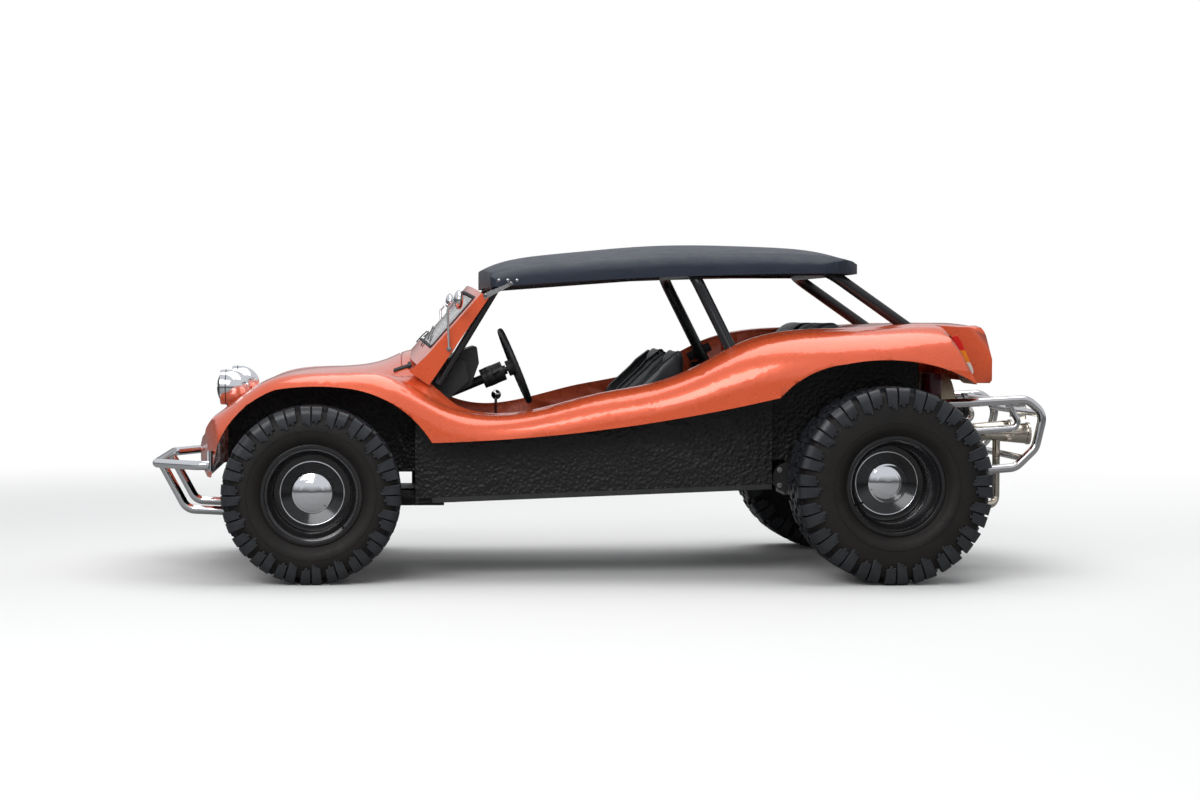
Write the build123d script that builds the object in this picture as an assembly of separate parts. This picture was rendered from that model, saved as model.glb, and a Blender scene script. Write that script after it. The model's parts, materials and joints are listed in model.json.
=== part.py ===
from build123d import *
import os
from math import cos, radians, sin, tan

# Dune buggy, in millimetres. The car faces -X, its left side is -Y and the ground is Z = 0.

# Driving dimensions of the whole car
WHEELBASE = 2400
FRONT_OVERHANG = 676            # front axle to the face of the front bumper
REAR_OVERHANG = 774             # rear axle to the face of the rear bumper
LENGTH = FRONT_OVERHANG + WHEELBASE + REAR_OVERHANG
X_FRONT = FRONT_OVERHANG - LENGTH / 2
X_REAR = X_FRONT + WHEELBASE
RAKE = 2.2                      # degrees that the chassis rises towards the tail
MIRROR_SIDES = (("left", -1), ("right", 1))

# Wheels and tyres
RIM_RADIUS = 190.5              # bead seat of a 15 inch wheel
RIM_LIP = 17                    # flange height over the bead seat
RIM_DROP = 22                   # depth of the drop centre
RIM_WALL = 6
FRONT_TYRE_RADIUS = 368
FRONT_TYRE_WIDTH = 240
FRONT_RIM_WIDTH = 198
FRONT_RIM_FACE = 793            # outer flange face from the centre plane
FRONT_DISC_DEPTH = 143          # flange face to the outer face of the wheel disc
REAR_TYRE_RADIUS = 410
REAR_TYRE_WIDTH = 318
REAR_RIM_WIDTH = 262
REAR_RIM_FACE = 907
REAR_DISC_DEPTH = 195
CAP_RADIUS = 134
CAP_DEPTH = 42
DISC_THICK = 7

# Steering
KINGPIN_Y = 585
KINGPIN_RADIUS = 11
STEER_LOCK = 24                 # degrees each way at the road wheels
STEERING_RATIO = 14
PIN_CLEARANCE = 0.05
RUN_CLEARANCE = 5
SEAT_CLEARANCE = 0.3

# Body shell
SHELL = 8
TUB_WALL = 12
COCKPIT_HALF = 600
NOSE_REACH = 498                # front axle to the tip of the nose
TAIL_REACH = 500                # rear axle to the end of the tail
BUMPER_TUBE = 19                # tube radius of both bumpers
CAGE_TUBE = 25


def front(aft):
    """Station measured backwards from the front axle."""
    return X_FRONT + aft


def rear(aft):
    """Station measured backwards from the rear axle."""
    return X_REAR + aft


def block(x0, x1, y0, y1, z0, z1):
    return Pos((x0 + x1) / 2, (y0 + y1) / 2, (z0 + z1) / 2) * Box(x1 - x0, y1 - y0, z1 - z0)


def rod(start, end, radius):
    run = Vector(*end) - Vector(*start)
    return extrude(Plane(origin=start, z_dir=run) * Circle(radius), run.length)


def bent_tube(points, radius, bend):
    path = FilletPolyline(*points, radius=bend)
    first_run = Vector(*points[1]) - Vector(*points[0])
    return sweep(Plane(origin=points[0], z_dir=first_run) * Circle(radius), path=path)


def side_prism(sketch, y0, y1):
    """Extrude a sketch drawn in X and Z from y0 to y1."""
    plane = Plane(origin=(0, y1, 0), x_dir=(1, 0, 0), z_dir=(0, -1, 0))
    return extrude(plane * sketch, y1 - y0)


def plan_prism(sketch, z0, z1):
    return extrude(Plane.XY.offset(z0) * sketch, z1 - z0)


def both_sides(shape):
    return [shape, mirror(shape, about=Plane.XZ)]


def rounded(points, radius):
    sketch = make_face(Polyline(*points, close=True))
    return fillet(sketch.vertices(), radius)


def raked(shape):
    """Tilt a chassis piece so that the car stands nose down."""
    return shape.rotate(Axis((0, 0, SILL_Z), (0, 1, 0)), -RAKE)


def raked_block(x0, x1, y0, y1, low, high):
    """Block between two heights above the raked floor line."""
    return raked(block(x0, x1, y0, y1, SILL_Z + low, SILL_Z + high))


def save(name, shape):
    if isinstance(shape, (list, tuple)):
        shape = Compound(children=[s for s in shape])
    shape.label = name
    export_step(shape, f"parts/{name}.step")


# Body sections: station, centre height, valley half width and height,
# crest half width and height, side half width and the height where the side turns down
BODY_SECTIONS = [
    (front(-540), 540, 330, 525, 480, 522, 560, 470),
    (front(-376), 708, 380, 690, 560, 701, 672, 600),
    (front(-199), 828, 400, 795, 596, 823, 748, 730),
    (front(-20), 872, 420, 822, 612, 862, 765, 780),
    (front(150), 884, 440, 822, 618, 867, 765, 785),
    (front(310), 915, 480, 834, 622, 856, 760, 755),
    (front(450), 950, 520, 846, 628, 783, 750, 680),
    (front(600), 800, 560, 742, 632, 713, 740, 610),
    (front(760), 710, 570, 694, 635, 691, 736, 590),
    (front(960), 735, 570, 720, 637, 718, 738, 605),
    (rear(-1203), 795, 570, 780, 638, 779, 745, 640),
    (rear(-955), 846, 570, 830, 640, 830, 760, 690),
    (rear(-769), 928, 560, 908, 640, 905, 780, 740),
    (rear(-610), 1010, 540, 992, 638, 986, 802, 790),
    (rear(-430), 1052, 510, 1040, 632, 1034, 824, 840),
    (rear(-220), 1064, 480, 1054, 625, 1048, 838, 880),
    (rear(0), 1074, 450, 1062, 618, 1058, 842, 900),
    (rear(226), 1084, 440, 1072, 610, 1070, 834, 895),
    (rear(515), 1091, 428, 1079, 598, 1077, 812, 878),
]
BODY_BOTTOM = 380


def body_section(row, inset):
    x, z_mid, y_valley, z_valley, y_crest, z_crest, y_side, z_side = row
    z_mid, z_valley, z_crest = z_mid - inset, z_valley - inset, z_crest - inset
    y_side, z_side = y_side - inset, z_side - inset * 0.4
    bulge_y = y_crest + (y_side - y_crest) * 0.72
    bulge_z = z_side + (z_crest - z_side) * 0.70
    hip_y = (y_crest + y_valley) / 2
    hip_z = (z_crest + z_valley) / 2 + (y_crest - y_valley) * 0.06
    right = [
        Line((y_side, BODY_BOTTOM), (y_side, z_side)),
        ThreePointArc((y_side, z_side), (bulge_y, bulge_z), (y_crest, z_crest)),
        ThreePointArc((y_crest, z_crest), (hip_y, hip_z), (y_valley, z_valley)),
    ]
    left = [
        ThreePointArc((-y_valley, z_valley), (-hip_y, hip_z), (-y_crest, z_crest)),
        ThreePointArc((-y_crest, z_crest), (-bulge_y, bulge_z), (-y_side, z_side)),
        Line((-y_side, z_side), (-y_side, BODY_BOTTOM)),
    ]
    crown = ThreePointArc((y_valley, z_valley), (0, z_mid), (-y_valley, z_valley))
    floor = Line((-y_side, BODY_BOTTOM), (y_side, BODY_BOTTOM))
    sketch = make_face(Wire(right + [crown] + left + [floor]))
    return Plane(origin=(x, 0, 0), x_dir=(0, 1, 0), z_dir=(1, 0, 0)) * sketch


def body_side_outline():
    """Side outline that rounds the nose and the tail."""
    return make_face(Wire([
        Line((front(-443), 300), (front(-443), 424)),
        Line((front(-443), 424), (front(-490), 480)),
        ThreePointArc((front(-490), 480), (front(-NOSE_REACH), 515), (front(-484), 560)),
        ThreePointArc((front(-484), 560), (front(-442), 640), (front(-330), 742)),
        Line((front(-330), 742), (front(-330), 1200)),
        Line((front(-330), 1200), (rear(350), 1200)),
        Line((rear(350), 1200), (rear(350), 1091)),
        ThreePointArc((rear(350), 1091), (rear(425), 1071), (rear(454), 1030)),
        Line((rear(454), 1030), (rear(TAIL_REACH), 862)),
        Line((rear(TAIL_REACH), 862), (rear(TAIL_REACH - 30), 826)),
        Line((rear(TAIL_REACH - 30), 826), (rear(TAIL_REACH - 30), 300)),
        Line((rear(TAIL_REACH - 30), 300), (front(-443), 300)),
    ]))


def body_plan_outline():
    """Plan outline that rounds the corners of the nose and the tail."""
    nose, tail = front(-NOSE_REACH - 2), rear(TAIL_REACH + 2)
    half = 900
    return make_face(Wire([
        ThreePointArc((front(-385), -665), (nose, 0), (front(-385), 665)),
        Line((front(-385), 665), (front(-250), half)),
        Line((front(-250), half), (rear(300), half)),
        Line((rear(300), half), (rear(380), 780)),
        Line((rear(380), 780), (rear(TAIL_REACH - 22), 640)),
        ThreePointArc((rear(TAIL_REACH - 22), 640), (tail, 0), (rear(TAIL_REACH - 22), -640)),
        Line((rear(TAIL_REACH - 22), -640), (rear(380), -780)),
        Line((rear(380), -780), (rear(300), -half)),
        Line((rear(300), -half), (front(-250), -half)),
        Line((front(-250), -half), (front(-385), -665)),
    ]))


# Slanted end of each rear fender: station behind the rear axle and height
FENDER_END_TOP = (215, 1110)
FENDER_END_LOW = (360, 828)
HUMP_HALF = 590                 # half width of the tail between the fenders' ends


def tail_notch(inset):
    """Slanted cut behind each rear fender, where the tail lamps sit."""
    (top, z_top), (low, z_low) = FENDER_END_TOP, FENDER_END_LOW
    sketch = make_face(Polyline(
        (rear(top - inset), z_top),
        (rear(low - inset), z_low),
        (rear(low - inset), 300),
        (rear(700), 300),
        (rear(700), z_top),
        close=True,
    ))
    return both_sides(side_prism(sketch, HUMP_HALF - inset, 960))


def body_volume(inset):
    volume = loft([body_section(row, inset) for row in BODY_SECTIONS])
    volume = volume & side_prism(offset(body_side_outline(), -inset), -1000, 1000)
    volume = volume & plan_prism(offset(body_plan_outline(), -inset), 250, 1250)
    for notch in tail_notch(inset):
        volume = volume - notch
    return volume


def below_lips():
    """Everything under the arch lips and the lower edge of the shell."""
    return make_face(Wire([
        Line((front(-700), 200), (front(-700), 424)),
        Line((front(-700), 424), (front(-424), 424)),
        Line((front(-424), 424), (front(-392), 556)),
        ThreePointArc((front(-392), 556), (front(-294), 707), (front(-150), 797)),
        ThreePointArc((front(-150), 797), (front(-15), 811), (front(130), 806)),
        ThreePointArc((front(130), 806), (front(340), 735), (front(493), 580)),
        ThreePointArc((front(493), 580), (rear(-1250), 628), (rear(-470), 771)),
        ThreePointArc((rear(-470), 771), (rear(-350), 866), (rear(-200), 911)),
        ThreePointArc((rear(-200), 911), (rear(0), 929), (rear(180), 905)),
        ThreePointArc((rear(180), 905), (rear(275), 873), (rear(360), 828)),
        Line((rear(360), 828), (rear(700), 828)),
        Line((rear(700), 828), (rear(700), 200)),
        Line((rear(700), 200), (front(-700), 200)),
    ]))


COWL_AFT = 478                  # front edge of the cockpit opening


def cockpit_outline():
    return rounded([
        (front(COWL_AFT), -540), (front(600), -COCKPIT_HALF), (rear(-700), -COCKPIT_HALF),
        (rear(-480), -520), (rear(-110), -500), (rear(-110), 500),
        (rear(-480), 520), (rear(-700), COCKPIT_HALF), (front(600), COCKPIT_HALF), (front(COWL_AFT), 540),
    ], 40)


def bonnet_outline():
    return rounded([
        (front(-300), -300), (front(372), -470), (front(372), 470), (front(-300), 300),
    ], 60)


# Bonnet hinge at the front edge, measured at the middle of each hinge
HINGE_AFT = -299
HINGE_Y = 180
HINGE_Z = 781
HINGE_PIN = 3
HINGE_BARREL = 6
HINGE_WIDTH = 22
HINGE_EAR = 8
HINGE_LEAF = 37
LEAF_THICK = 3
LEDGE_WIDTH = 20
LEDGE_RIM = 14
HINGE_ROOM = 300                # half width of the front edge that the ledge leaves free
LATCH_Y = 405
LATCH_PAD = (335, 412)          # strap from the lid to the cowl, behind the front axle


def hinge_pin(y, radius, half):
    x = front(HINGE_AFT)
    return rod((x, y - half, HINGE_Z), (x, y + half, HINGE_Z), radius)


def hinge_ears(y):
    """Pin of one bonnet hinge and the two ears that hold it to the nose."""
    x = front(HINGE_AFT)
    ear = make_face(Polyline((x - 26, HINGE_Z - 36), (x - 5, HINGE_Z - 21), (x + 4, HINGE_Z - 4),
                             (x - 3, HINGE_Z + 5), (x - 18, HINGE_Z - 8), close=True))
    half = HINGE_WIDTH / 2 + 1
    ears = hinge_pin(y, HINGE_PIN, half + HINGE_EAR)
    for y0 in (y - half - HINGE_EAR, y + half):
        ears = ears + side_prism(ear, y0, y0 + HINGE_EAR) + Pos(0, y0 + HINGE_EAR / 2 - y, 0) * hinge_pin(
            y, HINGE_BARREL, HINGE_EAR / 2)
    return ears


def bonnet_ledge(inner):
    """Flange under the edge of the opening that the shut lid rests on."""
    low = Pos(0, 0, -SHELL) * inner
    rim = plan_prism(offset(bonnet_outline(), LEDGE_RIM) - bonnet_outline(), 600, 1100)
    seat = plan_prism(bonnet_outline() - offset(bonnet_outline(), -LEDGE_WIDTH), 600, 1100)
    hinge_gap = block(front(-330), front(-240), -HINGE_ROOM, HINGE_ROOM, 600, 900)
    return (rim & inner) - low + ((seat & Pos(0, 0, -SEAT_CLEARANCE) * inner) - low - hinge_gap)


def latches(outer):
    """Rubber straps with a cross bar that hold the rear corners of the bonnet."""
    strap = block(front(LATCH_PAD[0]), front(LATCH_PAD[1]), LATCH_Y - 14, LATCH_Y + 14, 700, 1100)
    bar = block(front(LATCH_PAD[1] - 17), front(LATCH_PAD[1] - 3), LATCH_Y - 25, LATCH_Y + 25, 700, 1100)
    seat = Pos(0, 0, SEAT_CLEARANCE) * outer
    strap = (strap & Pos(0, 0, 7) * outer) - seat
    bar = (bar & Pos(0, 0, 13) * outer) - seat
    return both_sides(strap + bar)


def shell_and_bonnet():
    """Glass-fibre shell with its cockpit and bonnet openings, and the bonnet lid."""
    outer = body_volume(0)
    inner = body_volume(SHELL)
    shell = outer - inner - side_prism(below_lips(), -1100, 1100)
    shell = shell - plan_prism(cockpit_outline(), 500, 1300)
    opening = plan_prism(bonnet_outline(), 600, 1100)
    lid_cut = plan_prism(offset(bonnet_outline(), -RUN_CLEARANCE), 600, 1100)
    lid = shell & lid_cut
    shell = shell - opening + bonnet_ledge(inner)
    for y in (-HINGE_Y, HINGE_Y):
        shell = shell + hinge_ears(y)
        leaf = block(front(HINGE_AFT), front(HINGE_AFT + HINGE_LEAF), y - HINGE_WIDTH / 2,
                     y + HINGE_WIDTH / 2, HINGE_Z - HINGE_BARREL, HINGE_Z + 20)
        barrel = hinge_pin(y, HINGE_BARREL, HINGE_WIDTH / 2)
        web = block(front(HINGE_AFT) - 2, front(HINGE_AFT + 8), y - HINGE_WIDTH / 2, y + HINGE_WIDTH / 2,
                    HINGE_Z - 12, HINGE_Z)
        lid = lid + (leaf & Pos(0, 0, LEAF_THICK) * outer & lid_cut) + barrel + web
        lid = lid - hinge_pin(y, HINGE_PIN + PIN_CLEARANCE, HINGE_WIDTH)
    for lamp_y in (-LAMP_Y, LAMP_Y):
        post = rod((front(LAMP_AFT + 60), lamp_y, 640), (front(LAMP_AFT + 60), lamp_y, LAMP_Z - 40), 42)
        shell = shell + (post - outer) - lamp_bowl(lamp_y, SEAT_CLEARANCE)
    return outer, inner, shell, lid


# Headlamps
LAMP_Y = 397
LAMP_Z = 798
LAMP_AFT = -385                 # plane of the lamp's rim, behind the front axle
LAMP_RADIUS = 73
LAMP_DEPTH = 112
LENS_BULGE = 22
LAMP_TIP = 12                   # flat at the apex of the bowl and lens


def lamp_bowl(y, grow=0):
    """Bullet-shaped headlamp bowl that opens forwards."""
    radius, depth = LAMP_RADIUS + grow, LAMP_DEPTH + grow
    profile = make_face(Wire([
        Line((0, 0), (radius, 0)),
        Line((radius, 0), (radius, 18)),
        ThreePointArc((radius, 18), (radius * 0.76, depth * 0.72), (LAMP_TIP, depth)),
        Line((LAMP_TIP, depth), (0, depth)),
        Line((0, depth), (0, 0)),
    ]))
    bowl = revolve(Plane.XZ * profile, Axis.Z)
    return Plane(origin=(front(LAMP_AFT), y, LAMP_Z), x_dir=(0, 1, 0), z_dir=(1, 0, 0)) * bowl


def lamp_lens(y):
    profile = make_face(Wire([
        Line((0, 0), (LAMP_RADIUS - 4, 0)),
        ThreePointArc((LAMP_RADIUS - 4, 0), (LAMP_RADIUS * 0.55, -LENS_BULGE * 0.70), (LAMP_TIP, -LENS_BULGE)),
        Line((LAMP_TIP, -LENS_BULGE), (0, -LENS_BULGE)),
        Line((0, -LENS_BULGE), (0, 0)),
    ]))
    lens = revolve(Plane.XZ * profile, Axis.Z)
    return Plane(origin=(front(LAMP_AFT) - SEAT_CLEARANCE, y, LAMP_Z), x_dir=(0, 1, 0), z_dir=(1, 0, 0)) * lens


# Chassis
SILL_Z = 351                    # underside of the sills below the car's centre
SILL_HEIGHT = 22
SILL_WIDTH = 36
SILL_PROUD = 4                  # rail beyond the tub's side
FLOOR_THICK = 8
FLOOR_FRONT = 439               # floor's front edge behind the front axle
TUB_FRONT = 426
TUB_REAR = -470
TUB_BACK = -100                 # wall behind the rear bench
ARCH_WALL_Y = 545
NOSE_WALL_Y = 400
TUNNEL_HALF = 65
TUNNEL_HEIGHT = 125
BENCH_FLOOR_Z = 590
TANK_Z = 600
TANK_REACH = 250                # tank and its tray ahead of the front axle
TORSION_AFT = -400
TORSION_Z = 425
TORSION_TUBE = 46


def floor_z(x):
    return SILL_Z + x * tan(radians(RAKE))


def floor_pan():
    floor_top = SILL_Z + FLOOR_THICK
    half = COCKPIT_HALF + TUB_WALL - SILL_WIDTH
    pan = block(front(FLOOR_FRONT), rear(TUB_REAR), -half, half, SILL_Z, floor_top)
    tunnel = block(front(FLOOR_FRONT), rear(TUB_REAR), -TUNNEL_HALF, TUNNEL_HALF, SILL_Z,
                   SILL_Z + TUNNEL_HEIGHT)
    hollow = block(front(FLOOR_FRONT - 50), rear(TUB_REAR - 8), -TUNNEL_HALF + 6, TUNNEL_HALF - 6,
                   SILL_Z - 20, SILL_Z + TUNNEL_HEIGHT - 6)
    rail = block(front(TUB_FRONT + 70), rear(TUB_REAR), half, half + SILL_WIDTH + SILL_PROUD, SILL_Z,
                 SILL_Z + SILL_HEIGHT)
    pan = pan + tunnel - hollow
    for piece in both_sides(rail):
        pan = pan + piece
    pan = raked(pan)
    neck = block(rear(TUB_REAR) - 14, rear(TORSION_AFT) - TORSION_TUBE - SEAT_CLEARANCE, -TUNNEL_HALF,
                 TUNNEL_HALF, TORSION_Z - 30, TORSION_Z + 30)
    pan = pan + neck
    z0 = FRONT_TYRE_RADIUS + HEAD_LOW
    head = block(front(HEAD_FRONT), front(FLOOR_FRONT + 120), -HEAD_HALF, HEAD_HALF, z0,
                 FRONT_TYRE_RADIUS + HEAD_HIGH)
    return pan + head


def tub(inner):
    """Black textured tub: cabin sides, front and rear bulkheads and wheel-arch walls."""
    wall_out = COCKPIT_HALF + TUB_WALL
    low_front = floor_z(front(TUB_FRONT)) + SILL_HEIGHT + SEAT_CLEARANCE
    low_rear = floor_z(rear(TUB_REAR)) + SILL_HEIGHT + SEAT_CLEARANCE
    side = make_face(Polyline(
        (front(TUB_FRONT), low_front), (rear(TUB_REAR), low_rear),
        (rear(TUB_REAR), 1150), (front(TUB_FRONT), 1150), close=True))
    parts = both_sides(side_prism(side, COCKPIT_HALF, wall_out))
    x0, x1 = front(TUB_FRONT), rear(TUB_REAR)
    parts += both_sides(block(x0, x0 + TUB_WALL, NOSE_WALL_Y, wall_out, low_front - 22, 1150))
    parts += both_sides(block(front(-360), x0 + TUB_WALL, NOSE_WALL_Y, NOSE_WALL_Y + TUB_WALL, 440, 1150))
    parts += both_sides(block(x1 - TUB_WALL, x1, ARCH_WALL_Y, wall_out, low_rear, 1150))
    parts += both_sides(block(x1 - TUB_WALL, rear(170), ARCH_WALL_Y, ARCH_WALL_Y + TUB_WALL,
                              TORSION_Z + 75, 1150))
    head_top = FRONT_TYRE_RADIUS + HEAD_HIGH + SEAT_CLEARANCE
    toe = block(front(190), front(190) + TUB_WALL, -NOSE_WALL_Y - 2, NOSE_WALL_Y + 2, head_top, 1150)
    foot_floor = block(front(190), x0 + TUB_WALL, -NOSE_WALL_Y - 2, NOSE_WALL_Y + 2,
                       head_top, head_top + FLOOR_THICK)
    bench_floor = block(rear(-600), rear(-90), -ARCH_WALL_Y - 2, ARCH_WALL_Y + 2,
                        BENCH_FLOOR_Z - TUB_WALL, BENCH_FLOOR_Z)
    riser = block(rear(-600), rear(-600) + TUB_WALL, -ARCH_WALL_Y - 2, ARCH_WALL_Y + 2,
                  floor_z(rear(-600)) + FLOOR_THICK + 3, BENCH_FLOOR_Z)
    riser_sides = block(rear(-600), x1, -COCKPIT_HALF - 2, COCKPIT_HALF + 2,
                        BENCH_FLOOR_Z - TUB_WALL, BENCH_FLOOR_Z)
    back = block(rear(TUB_BACK), rear(TUB_BACK) + TUB_WALL, -ARCH_WALL_Y - 2, ARCH_WALL_Y + 2,
                 BENCH_FLOOR_Z - TUB_WALL, 1150)
    tray = block(front(-TANK_REACH), front(190), -NOSE_WALL_Y - 2, NOSE_WALL_Y + 2, TANK_Z - TUB_WALL,
                 TANK_Z - SEAT_CLEARANCE)
    parts += [toe, foot_floor, bench_floor, riser, riser_sides, back, tray]
    raw = parts[0].fuse(*parts[1:])
    tunnel = raked(block(front(0), rear(0), -TUNNEL_HALF - SEAT_CLEARANCE, TUNNEL_HALF + SEAT_CLEARANCE,
                         SILL_Z - 20, SILL_Z + TUNNEL_HEIGHT + SEAT_CLEARANCE))
    beam_room = block(front(BEAM_AFT) - 50, front(40), -BEAM_HALF - 60, BEAM_HALF + 60, 200,
                      FRONT_TYRE_RADIUS + 200)
    raw = raw - tunnel - beam_room - lamp_bowl(-LAMP_Y, SEAT_CLEARANCE) - lamp_bowl(LAMP_Y, SEAT_CLEARANCE)
    ledge_room = plan_prism(offset(bonnet_outline(), LEDGE_RIM + 1), 600, 1160)
    raw = raw - (ledge_room - Pos(0, 0, -SHELL - SEAT_CLEARANCE) * inner)
    above = block(front(-700), rear(700), -1000, 1000, BODY_BOTTOM + SHELL + 40, 1300)
    return raw - (above - Pos(0, 0, -SEAT_CLEARANCE) * inner)


# Front beam, measured from the front wheel centres
BEAM_AFT = -150
BEAM_TUBE = 34
BEAM_SPREAD = 60                # each tube above or below the wheel centre
TOW_AHEAD = 55                  # upright tow-bar hole ahead of the beam, in a lug at each tower's foot
TOW_BOLT = 6.5
TOW_LUG = 12
TOWER_FOOT = 105                # foot of each tower below the wheel centre
BEAM_HALF = 400
TOWER_THICK = 30
ARM_THICK = 30
EYE_RADIUS = 16
EYE_HEIGHT = 24
RACK_AFT = -95
RACK_Z = -12
ROD_RADIUS = 11
STEER_ARM_TOP = RACK_Z - ROD_RADIUS - RUN_CLEARANCE
STEER_ARM_THICK = 12
HEAD_FRONT = -110
HEAD_HALF = 110
HEAD_LOW = -96
HEAD_HIGH = -42
SPINDLE_RADIUS = 14
DRUM_RADIUS = 115
DRUM_DEPTH = 28
DRUM_WALL = 7
PLATE_THICK = 4


def front_beam():
    axle = FRONT_TYRE_RADIUS
    x = front(BEAM_AFT)
    pieces = []
    for z in (axle - BEAM_SPREAD, axle + BEAM_SPREAD):
        pieces.append(rod((x, -BEAM_HALF, z), (x, BEAM_HALF, z), BEAM_TUBE))
    tower = block(x - 40, x + 25, BEAM_HALF, BEAM_HALF + TOWER_THICK, axle - TOWER_FOOT, axle + 190)
    pieces += both_sides(tower)
    arm_y = BEAM_HALF + TOWER_THICK
    for z in (axle - BEAM_SPREAD, axle + BEAM_SPREAD):
        arm = block(x - 18, front(18), arm_y, arm_y + ARM_THICK, z - 16, z + 16)
        link = block(front(-16), front(16), arm_y, KINGPIN_Y, z - EYE_HEIGHT / 2, z + EYE_HEIGHT / 2)
        eye = rod((front(0), KINGPIN_Y, z - EYE_HEIGHT / 2), (front(0), KINGPIN_Y, z + EYE_HEIGHT / 2),
                  EYE_RADIUS)
        pieces += both_sides(arm + link + eye)
    pin = rod((front(0), KINGPIN_Y, axle - BEAM_SPREAD), (front(0), KINGPIN_Y, axle + BEAM_SPREAD),
              KINGPIN_RADIUS)
    pieces += both_sides(pin)
    z_rack = axle + RACK_Z
    housing = rod((front(RACK_AFT), -200, z_rack), (front(RACK_AFT), 200, z_rack), ROD_RADIUS + 14)
    pieces.append(housing)
    pieces += both_sides(block(x, front(RACK_AFT), 120, 160, axle - BEAM_SPREAD, z_rack))
    pieces.append(block(x, front(HEAD_FRONT) - SEAT_CLEARANCE, -HEAD_HALF, HEAD_HALF, axle + HEAD_LOW,
                        axle + HEAD_HIGH))
    beam = pieces[0].fuse(*pieces[1:])
    lug_z, lug_y = axle - TOWER_FOOT, BEAM_HALF + TOWER_THICK / 2
    for y in (-lug_y, lug_y):
        beam = beam + block(x - TOW_AHEAD - 17, x - 30, y - 15, y + 15, lug_z, lug_z + TOW_LUG)
        beam = beam - rod((x - TOW_AHEAD, y, lug_z - 10), (x - TOW_AHEAD, y, lug_z + TOW_LUG + 10), TOW_BOLT)
    bore = rod((front(RACK_AFT), -300, z_rack), (front(RACK_AFT), 300, z_rack), ROD_RADIUS + PIN_CLEARANCE)
    return beam - bore


def track_rod():
    z = FRONT_TYRE_RADIUS + RACK_Z
    half = KINGPIN_Y + 7
    return rod((front(RACK_AFT), -half, z), (front(RACK_AFT), half, z), ROD_RADIUS)


def knuckle(side):
    """Steering knuckle on the kingpin, with backplate, spindle and steering arm."""
    axle = FRONT_TYRE_RADIUS
    half = BEAM_SPREAD - EYE_HEIGHT / 2 - 1
    face = FRONT_RIM_FACE - FRONT_DISC_DEPTH - DISC_THICK
    mouth = face - DRUM_DEPTH
    barrel = rod((front(0), KINGPIN_Y, axle - half), (front(0), KINGPIN_Y, axle + half), 25)
    plate = rod((front(0), mouth - RUN_CLEARANCE - PLATE_THICK, axle),
                (front(0), mouth - RUN_CLEARANCE, axle), DRUM_RADIUS - 6)
    spindle = rod((front(0), KINGPIN_Y + 15, axle), (front(0), face - 2, axle), SPINDLE_RADIUS)
    top = axle + STEER_ARM_TOP
    arm = block(front(RACK_AFT - 14), front(0), KINGPIN_Y - 14, KINGPIN_Y + 14, top - STEER_ARM_THICK, top)
    piece = barrel + plate + spindle + arm
    bore = rod((front(0), KINGPIN_Y, axle - 90), (front(0), KINGPIN_Y, axle + 90),
               KINGPIN_RADIUS + PIN_CLEARANCE)
    piece = piece - bore
    return piece if side > 0 else mirror(piece, about=Plane.XZ)


# Wheels: profiles in radius and distance from the centre plane
def on_hub(profile, x, side, z):
    solid = revolve(Plane.XZ * profile, Axis.Z)
    return Plane(origin=(x, 0, z), x_dir=(1, 0, 0), z_dir=(0, side, 0)) * solid


BLOCK_TURN = 7                  # degrees from the middle of a tread block to its ends
BLOCK_DEPTH = 14
BORE_SIDES = 36


def tyre_ring(radius, y, pitches):
    """Polygon round the axle with one facet under each pair of tread blocks."""
    turns = [(pitch + 0.5) * 360 / pitches for pitch in range(pitches)]
    points = [(radius * sin(radians(turn)), radius * cos(radians(turn))) for turn in turns]
    return Pos(0, 0, y) * make_face(Polyline(*points, close=True))


def tread_block(section, turn):
    """Block with flat sides from its section of (radius, distance from the tyre's middle)."""
    faces = []
    for edge in (-BLOCK_TURN, BLOCK_TURN):
        outline = make_face(Polyline(*[(radius / cos(radians(BLOCK_TURN)), y) for radius, y in section],
                                     close=True))
        plane = Plane(origin=(0, 0, 0), z_dir=(cos(radians(turn + edge)), -sin(radians(turn + edge)), 0),
                      x_dir=(sin(radians(turn + edge)), cos(radians(turn + edge)), 0))
        faces.append(plane * outline)
    return loft(faces, ruled=True)


def tyre(radius, width, rim_width, pitches):
    """Carcass with a ring of deep blocks that wrap over each shoulder, axle along Z."""
    half, bead = width / 2, rim_width / 2 - 9 - SEAT_CLEARANCE
    belly, claw = radius * 0.74, radius * 0.80
    tread = radius - BLOCK_DEPTH
    # Right half of the carcass: radius, distance from the middle
    rows = [(tread, half - 40), (belly, half - 3), (RIM_RADIUS + RIM_LIP + 3, bead)]
    rings = [tyre_ring(r, -y, pitches) for r, y in reversed(rows)] + [tyre_ring(r, y, pitches) for r, y in rows]
    carcass = loft(rings, ruled=True)
    bore = (RIM_RADIUS + SEAT_CLEARANCE) / cos(radians(180 / BORE_SIDES))
    carcass = carcass - extrude(Pos(0, 0, -bead - 1) * RegularPolygon(bore, BORE_SIDES), 2 * bead + 2)
    section = [(radius, half * 0.42), (radius, half - 28), (claw, half), (tread - 8, half * 0.42)]
    blocks = []
    for pitch in range(pitches):
        blocks.append(tread_block(section, pitch * 360 / pitches))
        blocks.append(tread_block([(r, -y) for r, y in section], pitch * 360 / pitches))
    return carcass.fuse(*blocks)


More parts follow.
